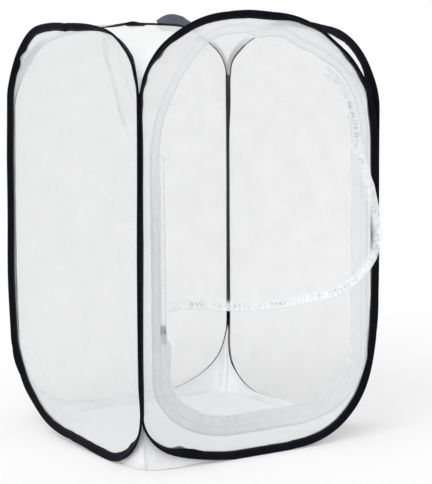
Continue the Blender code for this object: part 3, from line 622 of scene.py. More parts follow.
def binding_material(name):
    """Black ribbed tape with a navy cast, worn patches and lint, and a painted highlight on its twill ribs.
    """
    graph = Surface(name, (0.003, 0.003, 0.006), 0.7, Specular_IOR_Level=0.07)
    u, v = graph.on_cloth()[1:]
    twill = graph.ribs(graph.plus(u, v), TWILL_PITCH)
    cross = graph.ribs(graph.math("SUBTRACT", u, v), TWILL_CROSS_PITCH)
    wear = graph.noise(graph.in_object(), 0.022)
    lint = graph.spread(graph.noise(graph.in_object(), 0.0025, 6.0), 0.62, 0.78, 0.0, 0.5)
    tone = graph.blend(graph.spread(wear, 0.35), (0.0015, 0.0015, 0.0035), (0.004, 0.004, 0.009))
    # The twill's ribs are painted lighter and bluer: partly the weave's pattern, partly a painted highlight
    ribbed = graph.blend(graph.times(twill, 0.25), tone, (0.008, 0.0085, 0.017))
    graph.paint(graph.blend(lint, ribbed, (0.016, 0.0165, 0.026)))
    graph.roughen(graph.spread(twill, 0.0, 1.0, 0.5, 0.75))
    height = graph.plus(graph.times(twill, 0.7), graph.times(cross, 0.3))
    graph.bump(height, 0.00025)
    return graph.material


def netting_material(name, colours, cover):
    """Fine netting round diamond holes: its two colours and its cover between the threads."""
    graph = Surface(name, (0.85, 0.86, 0.885), 0.75, Sheen_Weight=0.1)
    place, u, v = graph.on_cloth()
    one = graph.ribs(graph.plus(u, v), NET_CELL)
    other = graph.ribs(graph.math("SUBTRACT", u, v), NET_CELL)
    thread = graph.spread(graph.math("MAXIMUM", one, other), 0.74, 0.94)
    density = graph.spread(graph.noise(place, 0.05), 0.3, 0.7, -0.04, 0.06)
    alpha = graph.plus(graph.spread(thread, 0.0, 1.0, cover, NET_THREAD_COVER), density)
    tone = graph.spread(graph.noise(place, 0.03))
    colour = graph.blend(tone, *colours)
    graph.paint(colour)
    graph.sheer(alpha, 0.5, colour)
    graph.bump(graph.plus(thread, graph.times(graph.noise(place, 0.006), 0.8)), 0.0002)
    return graph.material


def cloth_material(name, colours, cover, through):
    """White taffeta: its two colours, its cover between the yarns, and how much light passes through."""
    graph = Surface(name, (0.90, 0.905, 0.92), 0.7, Sheen_Weight=0.15)
    place, u, v = graph.on_cloth()
    yarn = weave(graph, u, v, TAFFETA_PITCH)
    creases = graph.noise(place, 0.035, 4.0)
    # The colour follows the crease noise that also raises the bump: paler on the ridges and darker in the
    # hollows, a painted shade
    colour = graph.blend(graph.spread(creases), *colours)
    graph.paint(colour)
    graph.sheer(graph.spread(yarn, 0.2, 1.0, cover, min(1.0, cover + 0.12)), through, colour)
    height = graph.plus(graph.times(yarn, 0.12), graph.times(creases, 6.0))
    graph.bump(height, 0.0006)
    return graph.material


def tape_material(name, painted_shade_colour, high_colour, painted_shade_alpha, high_alpha, crinkle=0.5, gloss=0.65):
    """Translucent white woven tape, painted greyer and more opaque low down on its left as painted shade, and
    paler and clearer high up and to the right as painted light.
    """
    graph = Surface(name, high_colour, gloss, Sheen_Weight=0.1)
    place, u, v = graph.on_cloth()
    yarn = weave(graph, u, v, TAPE_PITCH)
    spot = graph.node("ShaderNodeSeparateXYZ")
    graph.feed(spot.inputs[0], graph.in_object())
    # Painted shade low down on the left and painted light to the right: a share from 0 there to 1 high up or
    # to the right
    high = graph.spread(spot.outputs[2], 0.30, 0.56, 0.0, 1.0)
    share = graph.math("MAXIMUM", high, graph.spread(spot.outputs[0], -0.04, 0.15, 0.0, 1.0))
    streaks = graph.noise(place, 0.012, 4.0)
    shade = graph.spread(streaks, 0.3, 0.7, 0.0, 0.3)
    colour = graph.blend(shade, graph.blend(share, painted_shade_colour, high_colour), (0.93, 0.935, 0.95))
    graph.paint(colour)
    grain = graph.math("MULTIPLY_ADD", yarn, 0.12, -0.06)
    graph.sheer(graph.plus(graph.spread(share, 0.0, 1.0, painted_shade_alpha, high_alpha), grain), 0.4, colour)
    height = graph.plus(graph.times(yarn, 0.2), graph.times(graph.noise(place, 0.007, 3.0), 3.0 * crinkle))
    graph.bump(height, 0.0006)
    return graph.material


def sparkle_material(name):
    """Gathered clear edging: a bright rim, then grey and white glints painted into its colour as painted
    reflections and shade on its gathers, fading into the film.
    """
    graph = Surface(name, (0.86, 0.87, 0.89), 0.25, Coat_Weight=0.5, Coat_Roughness=0.1)
    place, u, v = graph.on_cloth()
    drift = graph.times(graph.noise(place, 0.012), 0.018)
    gathers = graph.ribs(graph.plus(u, drift), 0.0062)
    specks = graph.noise(place, 0.0042, 2.0)
    glint = graph.times(gathers, graph.spread(specks, 0.38, 0.56, 0.0, 1.0))
    patches = graph.spread(graph.noise(place, 0.030, 2.0), 0.44, 0.58, 0.05, 1.0)
    middle = graph.spread(graph.math("ABSOLUTE", graph.math("SUBTRACT", v, 0.0070)), 0.0015, 0.0050, 1.0, 0.0)
    dark = graph.times(graph.times(glint, patches), middle)
    rim = graph.spread(v, 0.0022, 0.0036, 1.0, 0.0)
    # Grey marks over the gathers and specks, painted into the colour: painted glints and shade
    colour = graph.blend(dark, (0.92, 0.93, 0.95), (0.44, 0.45, 0.49))
    graph.paint(colour)
    graph.roughen(graph.spread(specks, 0.3, 0.7, 0.12, 0.4))
    fade = graph.spread(v, 0.0095, 0.0160, 0.86, 0.06)
    within = graph.math("MULTIPLY_ADD", dark, 0.1, fade)
    cover = graph.math("MAXIMUM", graph.times(rim, 0.94), within)
    graph.sheer(cover, 0.3, colour)
    height = graph.plus(gathers, graph.times(specks, 1.5))
    graph.bump(height, 0.0009)
    return graph.material


def film_material(name):
    """Clear soft film with a faint haze and slow ripples."""
    graph = Surface(name, (0.80, 0.80, 0.82), 0.08)
    place = graph.on_cloth()[0]
    haze = graph.noise(place, 0.06, 3.0)
    scuffs = graph.spread(graph.noise(place, 0.004, 8.0, 0.7), 0.60, 0.75, 0.0, 0.03)
    graph.feed(graph.shader.inputs["Alpha"],
               graph.plus(graph.spread(haze, 0.3, 0.7, 0.025, 0.06), scuffs))
    graph.roughen(graph.spread(haze, 0.3, 0.7, 0.05, 0.14))
    graph.bump(graph.noise(place, 0.03, 2.0), 0.002, 0.5)
    return graph.material


def coil_material(name):
    graph = Surface(name, (0.84, 0.85, 0.87), 0.3, Coat_Weight=0.3)
    tone = graph.spread(graph.noise(graph.in_object(), 0.004))
    graph.paint(graph.blend(tone, (0.70, 0.71, 0.74), (0.90, 0.91, 0.93)))
    graph.roughen(graph.spread(tone, 0.0, 1.0, 0.22, 0.45))
    graph.bump(graph.noise(graph.in_object(), 0.0006), 0.0001)
    return graph.material


def webbing_material(name):
    """Grey-blue webbing with ribs across it."""
    graph = Surface(name, (0.085, 0.087, 0.145), 0.7, Sheen_Weight=0.2)
    place, u, v = graph.on_cloth()
    ribs = graph.ribs(u, WEBBING_RIB_PITCH)
    yarn = graph.ribs(v, WEBBING_YARN_PITCH)
    tone = graph.spread(graph.noise(place, 0.008))
    base = graph.blend(tone, (0.070, 0.072, 0.120), (0.105, 0.108, 0.170))
    graph.paint(graph.blend(graph.times(ribs, 0.4), base, (0.13, 0.135, 0.20)))
    graph.roughen(graph.spread(yarn, 0.0, 1.0, 0.6, 0.85))
    graph.bump(graph.plus(ribs, graph.times(yarn, 0.4)), 0.0004)
    return graph.material


def inner_tape_material(name):
    """White tape over the inner faces of the bindings: thin low down, thick near the head."""
    graph = Surface(name, (0.88, 0.885, 0.90), 0.7, Sheen_Weight=0.15)
    place, u, v = graph.on_cloth()
    spot = graph.node("ShaderNodeSeparateXYZ")
    graph.feed(spot.inputs[0], graph.in_object())
    cover = graph.spread(spot.outputs[2], INNER_TAPE_THIN_BELOW, INNER_TAPE_THICK_ABOVE, 0.12, 0.985)
    streaks = graph.spread(graph.ribs(v, 0.0042), 0.0, 1.0, -0.05, 0.14)
    yarn = weave(graph, u, v, TAFFETA_PITCH)
    colour = graph.blend(graph.noise(place, 0.02), (0.86, 0.865, 0.88), (0.93, 0.935, 0.94))
    graph.paint(colour)
    graph.sheer(graph.plus(cover, streaks), 0.3, colour)
    graph.bump(yarn, 0.0002)
    return graph.material


def metal_material(name, colour, roughness, metallic, scratch=0.003):
    graph = Surface(name, colour, roughness, Metallic=metallic)
    grain = graph.noise(graph.in_object(), scratch, 5.0)
    darker = tuple(channel * 0.72 for channel in colour)
    graph.paint(graph.blend(graph.spread(grain, 0.35, 0.65, 0.0, 1.0), darker, colour))
    graph.roughen(graph.spread(grain, 0.3, 0.7, roughness * 0.8, min(1.0, roughness * 1.4)))
    graph.bump(grain, 0.00012)
    return graph.material


def thread_material(name, colour):
    graph = Surface(name, colour, 0.7, Sheen_Weight=0.2)
    twist = graph.noise(graph.in_object(), 0.0005, 3.0)
    darker = tuple(channel * 0.6 for channel in colour)
    graph.paint(graph.blend(twist, darker, colour))
    graph.roughen(graph.spread(twist, 0.3, 0.7, 0.6, 0.85))
    graph.bump(twist, 0.0001)
    return graph.material


# Bindings, wires and stitching

def half_of(side, right):
    """Points round the right or left half of a hoop, from its foot to its head or back, evenly spaced."""
    points = hoop_points(side)
    wanted = [p for p in points if (p[4] <= 0.5) == right]
    before = max((p for p in points if p[4] <= 0.5), key=lambda p: p[4])
    after = min((p for p in points if p[4] > 0.5), key=lambda p: p[4])
    share = (0.5 - before[4]) / (after[4] - before[4])
    middle = tuple(mix(a, b, share) for a, b in zip(before, after))
    wanted = wanted + [middle] if right else [middle] + wanted
    return spaced(wanted, BINDING_STEP)


def attach(piece, side, right):
    """Rides on its panel where this half of the hoop is sewn to no neighbour, and otherwise is baked into the
    cage's frame.
    """
    neighbour = NEIGHBOURS.get((side, right))
    if neighbour is None:
        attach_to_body(piece, side)
        return
    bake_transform(piece)


def make_binding(side, right, material):
    points = half_of(side, right)
    rows = []
    for point in points:
        turn, reach = point[4], point[5]
        origin, inward, across = binding_frame(side, point)
        width = 1 + 0.05 * wobble(3, (reach, 0.1 * len(side)), 0.03)
        arc = 1 - beside_edge(turn)
        scallop = BINDING_SCALLOP * arc * wobble(5, (reach, 0.3), 0.006)
        swell = pucker(side, turn) + scallop
        ring = []
        for inset, half in BINDING_PROFILE:
            share = inset / BINDING_WIDTH
            spot = origin + inward * (inset * width + swell * share**2)
            ring.append((spot, half * (1 + PUCKER_THICKENING * swell * share)))
        closed = [spot + across * half for spot, half in ring]
        closed += [spot - across * half for spot, half in ring[::-1]]
        rows.append([to_world(side, *spot) for spot in closed])
    profile = [inset for inset, half in BINDING_PROFILE]
    around = profile + [2 * BINDING_WIDTH - inset for inset in profile[::-1]] + [2 * BINDING_WIDTH]
    name = f"{side}_binding_{'right' if right else 'left'}"
    made = add_surface(name, rows, lambda row, column: (points[row][5], around[column]), material, wrap=True)
    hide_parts(f"{side}_binding")
    attach(made, side, right)


def make_wire(side, right, material):
    points = half_of(side, right)[::2]
    rows = []
    for point in points:
        origin, inward, across = binding_frame(side, point)
        ring = round_ring(origin + inward * WIRE_INSET, inward, across, WIRE_RADIUS, WIRE_RADIUS, 8)
        rows.append([to_world(side, *spot) for spot in ring])
    name = f"{side}_wire_{'right' if right else 'left'}"
    made = add_surface(name, rows, lambda row, column: (points[row][5], 0.001 * column), material, wrap=True)
    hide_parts(f"{side}_wire_hoop")
    attach(made, side, right)


def make_sleeve(side, material):
    """Crimped sleeve over the wire's joined ends, in the middle of the hoop's foot."""
    points = hoop_points(side)
    near = [p for p in points if p[4] > 0.9 and p[0] > -SLEEVE_HALF]
    near += [p for p in points if p[4] < 0.1 and p[0] < SLEEVE_HALF]
    rows = []
    for index, point in enumerate(near):
        origin, inward, across = binding_frame(side, point)
        crimped = SLEEVE_RADIUS * (SLEEVE_CRIMP if index % 3 == 1 else 1.0)
        ring = round_ring(origin + inward * WIRE_INSET, inward, across, crimped, SLEEVE_RADIUS, 10)
        rows.append([to_world(side, *spot) for spot in ring])
    made = add_surface(f"{side}_sleeve", rows, lambda row, column: (0.003 * row, 0.001 * column),
                       material, wrap=True)
    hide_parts(f"{side}_wire_sleeve")
    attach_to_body(made, side)


def add_stitches(name, spots, material, length=0.0027, radius=0.00028):
    """Short rounded threads. Each spot is a middle, the way it lies and the way it faces."""
    verts, faces = [], []
    for middle, along, facing in spots:
        along = along.normalized()
        beside = along.cross(facing).normalized()
        facing = beside.cross(along).normalized()
        first = len(verts)
        for share, size in ((-0.5, 0.35), (-0.34, 1.0), (0.34, 1.0), (0.5, 0.35)):
            for angle in range(6):
                turn = math.pi / 3 * angle
                lift = math.sin(turn) * radius * size + (0.0 if size == 1.0 else -0.0002)
                verts.append(middle + along * (share * length) + beside * (math.cos(turn) * radius * size)
                             + facing * lift)
        for ring in range(3):
            for angle in range(6):
                after = (angle + 1) % 6
                base = first + ring * 6
                faces.append((base + angle, base + after, base + 6 + after, base + 6 + angle))
        faces.append(tuple(first + k for k in range(6)))
        faces.append(tuple(first + 18 + k for k in range(6)))
    return add_mesh(name, verts, faces, material)


def make_binding_stitches(side, right, material):
    points = spaced([p[:5] for p in half_of(side, right)], STITCH_PITCH)
    spots = []
    for before, point, after in zip(points, points[1:], points[2:]):
        origin, inward, across = binding_frame(side, point)
        middle = origin + inward * (STITCH_INSET + pucker(side, point[4]) * 0.6)
        run = to_world(side, after[0], after[1]) - to_world(side, before[0], before[1])
        for way in (1, -1):
            spot = middle + across * (way * 0.00062)
            face = to_world(side, *across) - to_world(side, 0.0, 0.0)
            spots.append((to_world(side, *spot), run, face * way))
    name = f"{side}_binding_stitching_{'right' if right else 'left'}"
    made = add_stitches(name, spots, material)
    attach(made, side, right)


# Netting

def root_line(side, half):
    """(x, z, depth) where the panel's cloth is sewn in, from foot to head on one side."""
    points = [p for p in hoop_points(side) if (p[4] <= 0.5) == (half > 0)]
    line = [tuple(binding_root(side, p)) for p in points]
    return line if half > 0 else line[::-1]


def across_at(line, z):
    """x and depth of a foot-to-head line at a height."""
    if z <= line[0][1]:
        return line[0][0], line[0][2]
    for first, last in zip(line, line[1:]):
        if first[1] <= z <= last[1] and last[1] > first[1]:
            share = (z - first[1]) / (last[1] - first[1])
            return mix(first[0], last[0], share), mix(first[2], last[2], share)
    return line[-1][0], line[-1][2]


def net_depth(side, x, z):
    """Folds and slack of a panel's netting."""
    depth = 0.0016 * wobble(7 + len(side), (x, z), 0.09) + 0.0005 * wobble(2, (x, z), 0.02)
    spot = Vector((x, z))
    for start, end, half, height in NET_FOLDS[side]:
        start, end = Vector(start), Vector(end)
        run = end - start
        share = (spot - start).dot(run) / run.length_squared
        if -0.1 < share < 1.1:
            bend = 0.003 * math.sin(math.pi * share)
            away = (spot - start - run * share).dot(Vector((-run.y, run.x)).normalized()) + bend
            ends = smooth((share + 0.1) / 0.3) * smooth((1.1 - share) / 0.3)
            depth += height * ends * math.exp(-((away / half) ** 2))
    return depth


def make_plain_net(side, material):
    """A netting panel as a grid of rows between the two sides of its hoop."""
    left, right = root_line(side, -1), root_line(side, 1)
    low, high = left[0][1], left[-1][1]
    cells = []
    for row in range(NET_ROWS + 1):
        z = mix(low, high, 0.5 - 0.5 * math.cos(math.pi * row / NET_ROWS))
        (x_left, d_left), (x_right, d_right) = across_at(left, z), across_at(right, z)
        line = []
        for column in range(NET_COLUMNS + 1):
            share = column / NET_COLUMNS
            x = mix(x_left, x_right, share)
            edge = min(x - x_left, x_right - x, z - low, high - z)
            held = smooth(max(0.0, edge) / 0.02)
            depth = mix(mix(d_left, d_right, smooth(share)), 0.0, smooth(edge / 0.04))
            depth += held * net_depth(side, x, z)
            line.append((to_world(side, x, z, depth), (x, z)))
        cells.append(line)
    made = add_placed(f"{side}_netting", cells, material)
    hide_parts(f"{side}_mesh")
    panel_area(side)
    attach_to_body(made, side)


def panel_area(side):
    """Area inside the line where the netting is sewn in."""
    line = root_line(side, -1) + root_line(side, 1)[::-1]
    total = 0.0
    for first, last in zip(line, line[1:] + line[:1]):
        total += first[0] * last[1] - last[0] * first[1]
    return abs(total) / 2


def make_front_net(material):
    """Netting between the front hoop and the door's facing."""
    outer = spaced([tuple(binding_root("front", p)) + (p[4],) for p in hoop_points("front")], 0.006)
    inner = [(*inset_from(p, 0.004), 0.0, p[4]) for p in door_points()]
    cells = []
    for x, z, depth, turn, reach in outer:
        before = max((q for q in inner if q[3] <= turn), key=lambda q: q[3])
        after = min((q for q in inner if q[3] >= turn), key=lambda q: q[3])
        share = 0.0 if after[3] == before[3] else (turn - before[3]) / (after[3] - before[3])
        goal = [mix(a, b, share) for a, b in zip(before, after)]
        line = []
        for step in range(13):
            part = step / 12
            px, pz = mix(x, goal[0], part), mix(z, goal[1], part)
            fold = math.sin(math.pi * part) * net_depth("front", px, pz)
            line.append((to_world("front", px, pz, mix(depth, 0.0, smooth(part * 1.6)) + fold), (px, pz)))
        cells.append(line)
    made = add_placed("front_netting", cells, material)
    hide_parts("front_mesh")
    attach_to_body(made, "front")


# Cloth top and base

def sewn_line(side, start, end, share=SEWN_SHARE, inside=0.0):
    """Where cloth is sewn to a hoop, between two turns, in the cage's frame."""
    points = hoop_points(side)
    if start > end:
        points = [p for p in points[:-1] if p[4] >= start] + [p for p in points if p[4] <= end]
    else:
        points = [p for p in points if start <= p[4] <= end]
    return [to_world(side, *binding_root(side, p, share, inside)) for p in points]


def creases(x, y, seed):
    """Pulls that run in from the four corners."""
    total = 0.0
    for corner_x in (-CAGE_HALF, CAGE_HALF):
        for corner_y in (-CAGE_HALF, CAGE_HALF):
            dx, dy = x - corner_x, y - corner_y
            away = math.hypot(dx, dy)
            angle = math.atan2(dy, dx)
            fade = math.exp(-away / 0.09) * smooth(away / 0.05)
            total += fade * math.sin(angle * 11 + seed + corner_x * 30)
    return total


def even_row(line, count):
    """A line cut into a number of equal stretches."""
    length = sum((b - a).length for a, b in zip(line, line[1:]))
    return spaced_3d(line, length / count)


def taut_sheet(front, back, left, right):
    """A grid stretched between four edges, as a soap film would be."""
    sheet = np.zeros((CLOTH_CELLS + 1, CLOTH_CELLS + 1, 3))
    share = np.linspace(0.0, 1.0, CLOTH_CELLS + 1)[:, None]
    front, back, left, right = (np.array(even_row(line, CLOTH_CELLS)) for line in (front, back, left, right))
    for row in range(CLOTH_CELLS + 1):
        sheet[row] = left[row] * (1 - share) + right[row] * share
    for _ in range(TAUT_STEPS):
        sheet[0], sheet[-1], sheet[:, 0], sheet[:, -1] = front, back, left, right
        around = sheet[:-2, 1:-1] + sheet[2:, 1:-1] + sheet[1:-1, :-2] + sheet[1:-1, 2:]
        sheet[1:-1, 1:-1] = around / 4
    corners = ((0, 0, front[0], left[0]), (0, -1, front[-1], right[0]),
               (-1, 0, back[0], left[-1]), (-1, -1, back[-1], right[-1]))
    for row, column, one, other in corners:
        sheet[row, column] = (one + other) / 2
    return sheet


def finish_cloth(made, node):
    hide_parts(node)
    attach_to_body(made, "front")
    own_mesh(made)


def make_top(material):
    head, tail = HEAD_RIGHT, HEAD_LEFT + CORNER_TURN
    front = sewn_line("front", head, tail)[::-1]
    back = sewn_line("back", head, tail)
    left = sewn_line("left", head, tail)
    right = sewn_line("right", head, tail)[::-1]
    sheet = taut_sheet(front, back, left, right)
    rows = []
    for index, row in enumerate(sheet):
        line = []
        for column, (x, y, z) in enumerate(row):
            edge = min(index, column, CLOTH_CELLS - index, CLOTH_CELLS - column)
            ripple = 0.0022 * creases(x, y, 1.0) + 0.0018 * wobble(11, (x, y), 0.05)
            line.append(Vector((x, y, z + ripple * smooth(edge / 6))))
        rows.append(line)
    made = add_surface("top_cloth", rows, lambda row, column: rows[row][column].xy, material)
    finish_cloth(made, "top_panel")


def ground_place(spot):
    """Where the base's hanging edge meets the ground below a point of it."""
    loose = spot.x * spot.y > 0
    half = mix(BASE_HALF, BASE_CORNER_HALF, smooth((spot.z - 0.015) / 0.03)) if loose else BASE_HALF
    radius = BASE_CORNER_RADIUS if loose else BASE_TAUT_CORNER_RADIUS
    straight = half - radius
    beyond = Vector((max(0.0, abs(spot.x) - straight), max(0.0, abs(spot.y) - straight)))
    beyond = beyond.normalized() * radius
    x, y = min(abs(spot.x), straight) + beyond.x, min(abs(spot.y), straight) + beyond.y
    return Vector((math.copysign(x, spot.x), math.copysign(y, spot.y)))


def make_base(material):
    """Cloth that hangs inside the feet of the four hoops and lies flat on the ground."""
    ring = []
    for side in ("front", "right", "back", "left"):
        ring += sewn_line(side, FOOT_LEFT, FOOT_RIGHT + CORNER_TURN, BASE_SEWN_SHARE, BASE_INSIDE)
    ring = spaced_3d(ring + ring[:1], 0.004)[:-1]
    feet = [ground_place(spot) for spot in ring]
    rows = [ring]
    for step in range(1, CURTAIN_ROWS + 1):
        fall = step / CURTAIN_ROWS
        row = []
        for index, (spot, foot) in enumerate(zip(ring, feet)):
            swing = BASE_PLEAT * math.sin(math.pi * fall) * wobble(71, (index * 0.004, fall * 0.02), 0.02)
            outward = foot.normalized() * swing * smooth((spot.z - 0.02) / 0.05)
            place = Vector(spot[:2]).lerp(foot, smooth(fall)) + outward
            row.append(Vector((*place, mix(spot.z, BASE_LIFT, math.sin(math.pi / 2 * fall)))))
        rows.append(row)
    for step in range(1, FLOOR_ROWS + 1):
        inward = step / FLOOR_ROWS
        row = []
        for foot in feet:
            place = foot * (1 - inward * 0.995)
            ripple = 0.0022 * max(0.0, creases(*place, 2.0)) + 0.0012 * max(0.0, wobble(13, place, 0.04))
            row.append(Vector((*place, BASE_LIFT + ripple * smooth(inward * 6))))
        rows.append(row)
    made = add_surface("base_cloth", rows, lambda row, column: (0.004 * column, 0.008 * row),
                       material, wrap=True)
    finish_cloth(made, "base_panel")


def make_inner_tape(side, start, end, material):
    """White tape over the inner face of a binding, where the cloth's and the netting's edges are covered."""
    points = spaced([p for p in hoop_points(side) if start <= p[4] <= end], 0.005)
    rows = []
    for point in points:
        origin, inward, across = binding_frame(side, point)
        fade = smooth(min(point[4] - start, end - point[4]) / 0.012)
        line = []
        insets = [BINDING_WIDTH * mix(0.55, 1.02, fade)]
        insets += [mix(BINDING_WIDTH * 0.55, mix(BINDING_WIDTH * 0.4, 0.0012, share), fade)
                   for share in (0.25, 0.5, 0.75, 1.0)]
        for inset in insets:
            line.append(to_world(side, *(origin + inward * inset - across * INNER_TAPE_LIFT)))
        rows.append(line)
    name = f"{side}_inner_tape_{round(start * 100)}"
    made = add_surface(name, rows, lambda row, column: (points[row][5], 0.002 * column), material)
    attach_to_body(made, side)


# Door

def flap_directions():
    """The way along the line that the flap bends about, and the way from it to the free edge."""
    along = (FLAP_HEAD - FLAP_FOOT).normalized()
    return along, Vector((along.y, -along.x))


def door_place(x, z, depth=0.0):
    """A point of the flat door in the cage's frame, curled outward beyond the flap's line."""
    along, away = flap_directions()
    spot = Vector((x, z)) - FLAP_FOOT
    beyond = spot.dot(away)
    if beyond <= 0:
        return to_world("front", x, z, depth)
    bend = beyond / FLAP_RADIUS
    radius = FLAP_RADIUS + depth
    flat = FLAP_FOOT + along * spot.dot(along) + away * (radius * math.sin(bend))
    lift = FLAP_RADIUS - radius * math.cos(bend) + 2 * depth * math.cos(bend)
    return to_world("front", flat.x, flat.y, lift)


def attach_flap(piece):
    """Bakes the piece into the cage's frame."""
    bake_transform(piece)


def flap_edge():
    """Free edge of the flat door from the slider, along its foot and up its right side, with normals."""
    centre_x, centre_z = FLAP_SIDE - FLAP_CORNER, FLAP_FOOT.y + FLAP_CORNER
    points = [(FLAP_FOOT.x, FLAP_FOOT.y, 0.0, -1.0)]
    for step in range(25):
        angle = math.pi / 2 * (step / 24 - 1)
        nx, nz = math.cos(angle), math.sin(angle)
        points.append((centre_x + FLAP_CORNER * nx, centre_z + FLAP_CORNER * nz, nx, nz))
    inset = DOOR_HALF_WIDTH - FLAP_SIDE
    for x, z, nx, nz, turn in door_points():
        if HEAD_RIGHT <= turn < 0.45 and x > FLAP_HEAD.x - 0.016:
            points.append((x - nx * inset, z - nz * inset, nx, nz))
    bulged = []
    for x, z, nx, nz, reach in spaced(points, OUTLINE_STEP):
        bulge = eased(FLAP_BULGES, reach) / 1000
        bulged.append((x + nx * bulge, z + nz * bulge, nx, nz))
    return spaced(bulged, OUTLINE_STEP)


def make_film(material):
    """One sheet of clear film: still zipped in above the flap's line, and curled free below it."""
    outline = []
    head_inset = FACING_WIDTH + FACING_GAP
    for x, z, nx, nz, turn in door_points():
        if HEAD_RIGHT <= turn <= HEAD_LEFT + CORNER_TURN:
            inset = mix(head_inset, FILM_INSET, smooth((turn - 0.62) / 0.06)) if x < 0 else head_inset
            if x - nx * inset <= FLAP_HEAD.x:
                outline.append((x - nx * inset, z - nz * inset))
    outline.append((-DOOR_HALF_WIDTH + FILM_INSET, FLAP_FOOT.y))
    polygon = outline + [inset_from(point, EDGING_WIDTH) for point in flap_edge()[1:]]
    along, away = flap_directions()
    flat = [((Vector(p) - FLAP_FOOT).dot(along), (Vector(p) - FLAP_FOOT).dot(away)) for p in polygon]
    low = min(p[1] for p in flat)
    high = max(p[1] for p in flat)
    cells = []
    for number in range(FILM_ROWS + 1):
        level = mix(low + 0.0005, high - 0.0005, 0.5 - 0.5 * math.cos(math.pi * number / FILM_ROWS))
        crossings = []
        for (a0, b0), (a1, b1) in zip(flat, flat[1:] + flat[:1]):
            if (b0 - level) * (b1 - level) < 0:
                crossings.append(a0 + (a1 - a0) * (level - b0) / (b1 - b0))
        first, last = min(crossings), max(crossings)
        line = []
        for column in range(FILM_COLUMNS + 1):
            reach = mix(first, last, column / FILM_COLUMNS)
            spot = FLAP_FOOT + along * reach + away * level
            held = min(1.0, min(reach - first, last - reach, level - low, high - level) / FILM_HELD_EDGE)
            ripple = FILM_RIPPLE * wobble(21, (reach, level * 2.5), 0.07) * max(0.0, held)
            line.append((door_place(*spot, ripple), spot))
        cells.append(line)
    made = add_placed("door_film", cells, material)
    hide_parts("door_window", "door_flap")
    attach_flap(made)


def facing_wave(reach, inset):
    """How far the facing waves out of the panel."""
    return FACING_WAVE * wobble(33, (reach, inset * 3), 0.03)


def make_facing(material, thread):
    """Tape folded over the cut edge of the netting, with a row of stitches near each edge."""
    points = spaced(door_points(), 0.004)
    reaches = [point[5] for point in points]
    rows = []
    insets = (0.0, 0.0006, 0.0045, 0.0085, 0.0116, 0.0141, FACING_WIDTH)
    lifts = (0.0002, 0.0008, 0.0009, 0.0010, 0.0010, 0.0009, 0.0)
    for point, reach in zip(points, reaches):
        line = []
        for inset, lift in zip(insets, lifts):
            share = inset / FACING_WIDTH
            shift = 0.0007 * (1 - share) * wobble(31, (reach, 0.0), 0.02)
            depth = lift + facing_wave(reach, inset)
            line.append(to_world("front", *inset_from(point, inset + shift), depth))
        rows.append(line)
    made = add_surface("door_facing_tape", rows, lambda row, column: (reaches[row], insets[column]), material)
    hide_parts("door_facing")
    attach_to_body(made, "front")
    spots = []
    stitches = spaced(door_points(), 0.0040)
    for inset in FACING_STITCH_ROWS:
        for before, point, after in zip(stitches, stitches[1:], stitches[2:]):
            run = to_world("front", after[0], after[1]) - to_world("front", before[0], before[1])
            spot = to_world("front", *inset_from(point, inset), 0.0012 + facing_wave(point[5], inset))
            spots.append((spot, run, Vector((0, -1, 0))))
    seams = add_stitches("door_facing_stitching", spots, thread, 0.0026, 0.00026)
    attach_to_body(seams, "front")


def zip_path():
    """The frame side of the zip, from its start on the right, under the door, to its end on the left."""
    points = door_points()
    right = [p for p in points if p[4] <= 0.5 and p[1] <= ZIP_START_HEIGHT + 0.001]
    left = [p for p in points if p[4] > 0.5 and p[1] <= ZIP_END_HEIGHT]
    path = right[::-1] + left[::-1]
    return spaced(path, OUTLINE_STEP)


def free_share(point):
    """1 where the zip is open, 0 where the slider has closed it."""
    if point[0] > -0.15:
        return 1.0
    return 1 - smooth((point[1] - SLIDER_FOOT + 0.016) / 0.016)


def make_frame_zip(tape, coil):
    """Freed tape that flutters below the slider, with the coil along its edge."""
    points = zip_path()
    cells, spots = [], []
    for point in points:
        reach = point[5]
        free = free_share(point)
        width = mix(ZIP_TAPE_FOLDED, ZIP_TAPE_WIDTH, free)
        sway = ZIP_TAPE_SWAY * wobble(41, (reach, 0.0), 0.016)
        rise = ZIP_TAPE_RISE * wobble(43, (reach, 0.0), 0.013)
        line = []
        for step in range(8):
            share = step / 7
            flutter = free * share**1.5
            inset = FACING_WIDTH + FACING_GAP + width * share + flutter * sway
            spot = to_world("front", *inset_from(point, inset), flutter * rise + 0.0006)
            line.append((spot, (reach, width * share)))
        cells.append(line)
        inset = FACING_WIDTH + FACING_GAP + width + 0.0011 + free * sway
        spots.append(to_world("front", *inset_from(point, inset), free * rise + 0.0003))
    made = add_placed("frame_zip_tape_free", cells, tape)
    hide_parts("frame_zip_tape")
    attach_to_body(made, "front")
    teeth = add_coil("frame_zip_teeth", spots, coil)
    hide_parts("frame_zip_coil")
    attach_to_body(teeth, "front")


def add_coil(name, spots, material, radius=0.00078, pitch=0.0013):
    """A nylon coil along a line of points, drawn as close turns."""
    line = spaced_3d(spots, pitch / 3)
    rows = []
    for index, spot in enumerate(line):
        before, after = line[max(0, index - 1)], line[min(len(line) - 1, index + 1)]
        run = (after - before).normalized()
        side = run.cross(Vector((0, -1, 0.02))).normalized()
        facing = side.cross(run).normalized()
        size = radius * (0.62, 1.0, 0.92)[index % 3]
        rows.append(round_ring(spot, side, facing, size, size * 0.8, 7))
    return add_surface(name, rows, lambda row, column: (row * pitch / 3, column * 0.0007),
                       material, wrap=True)


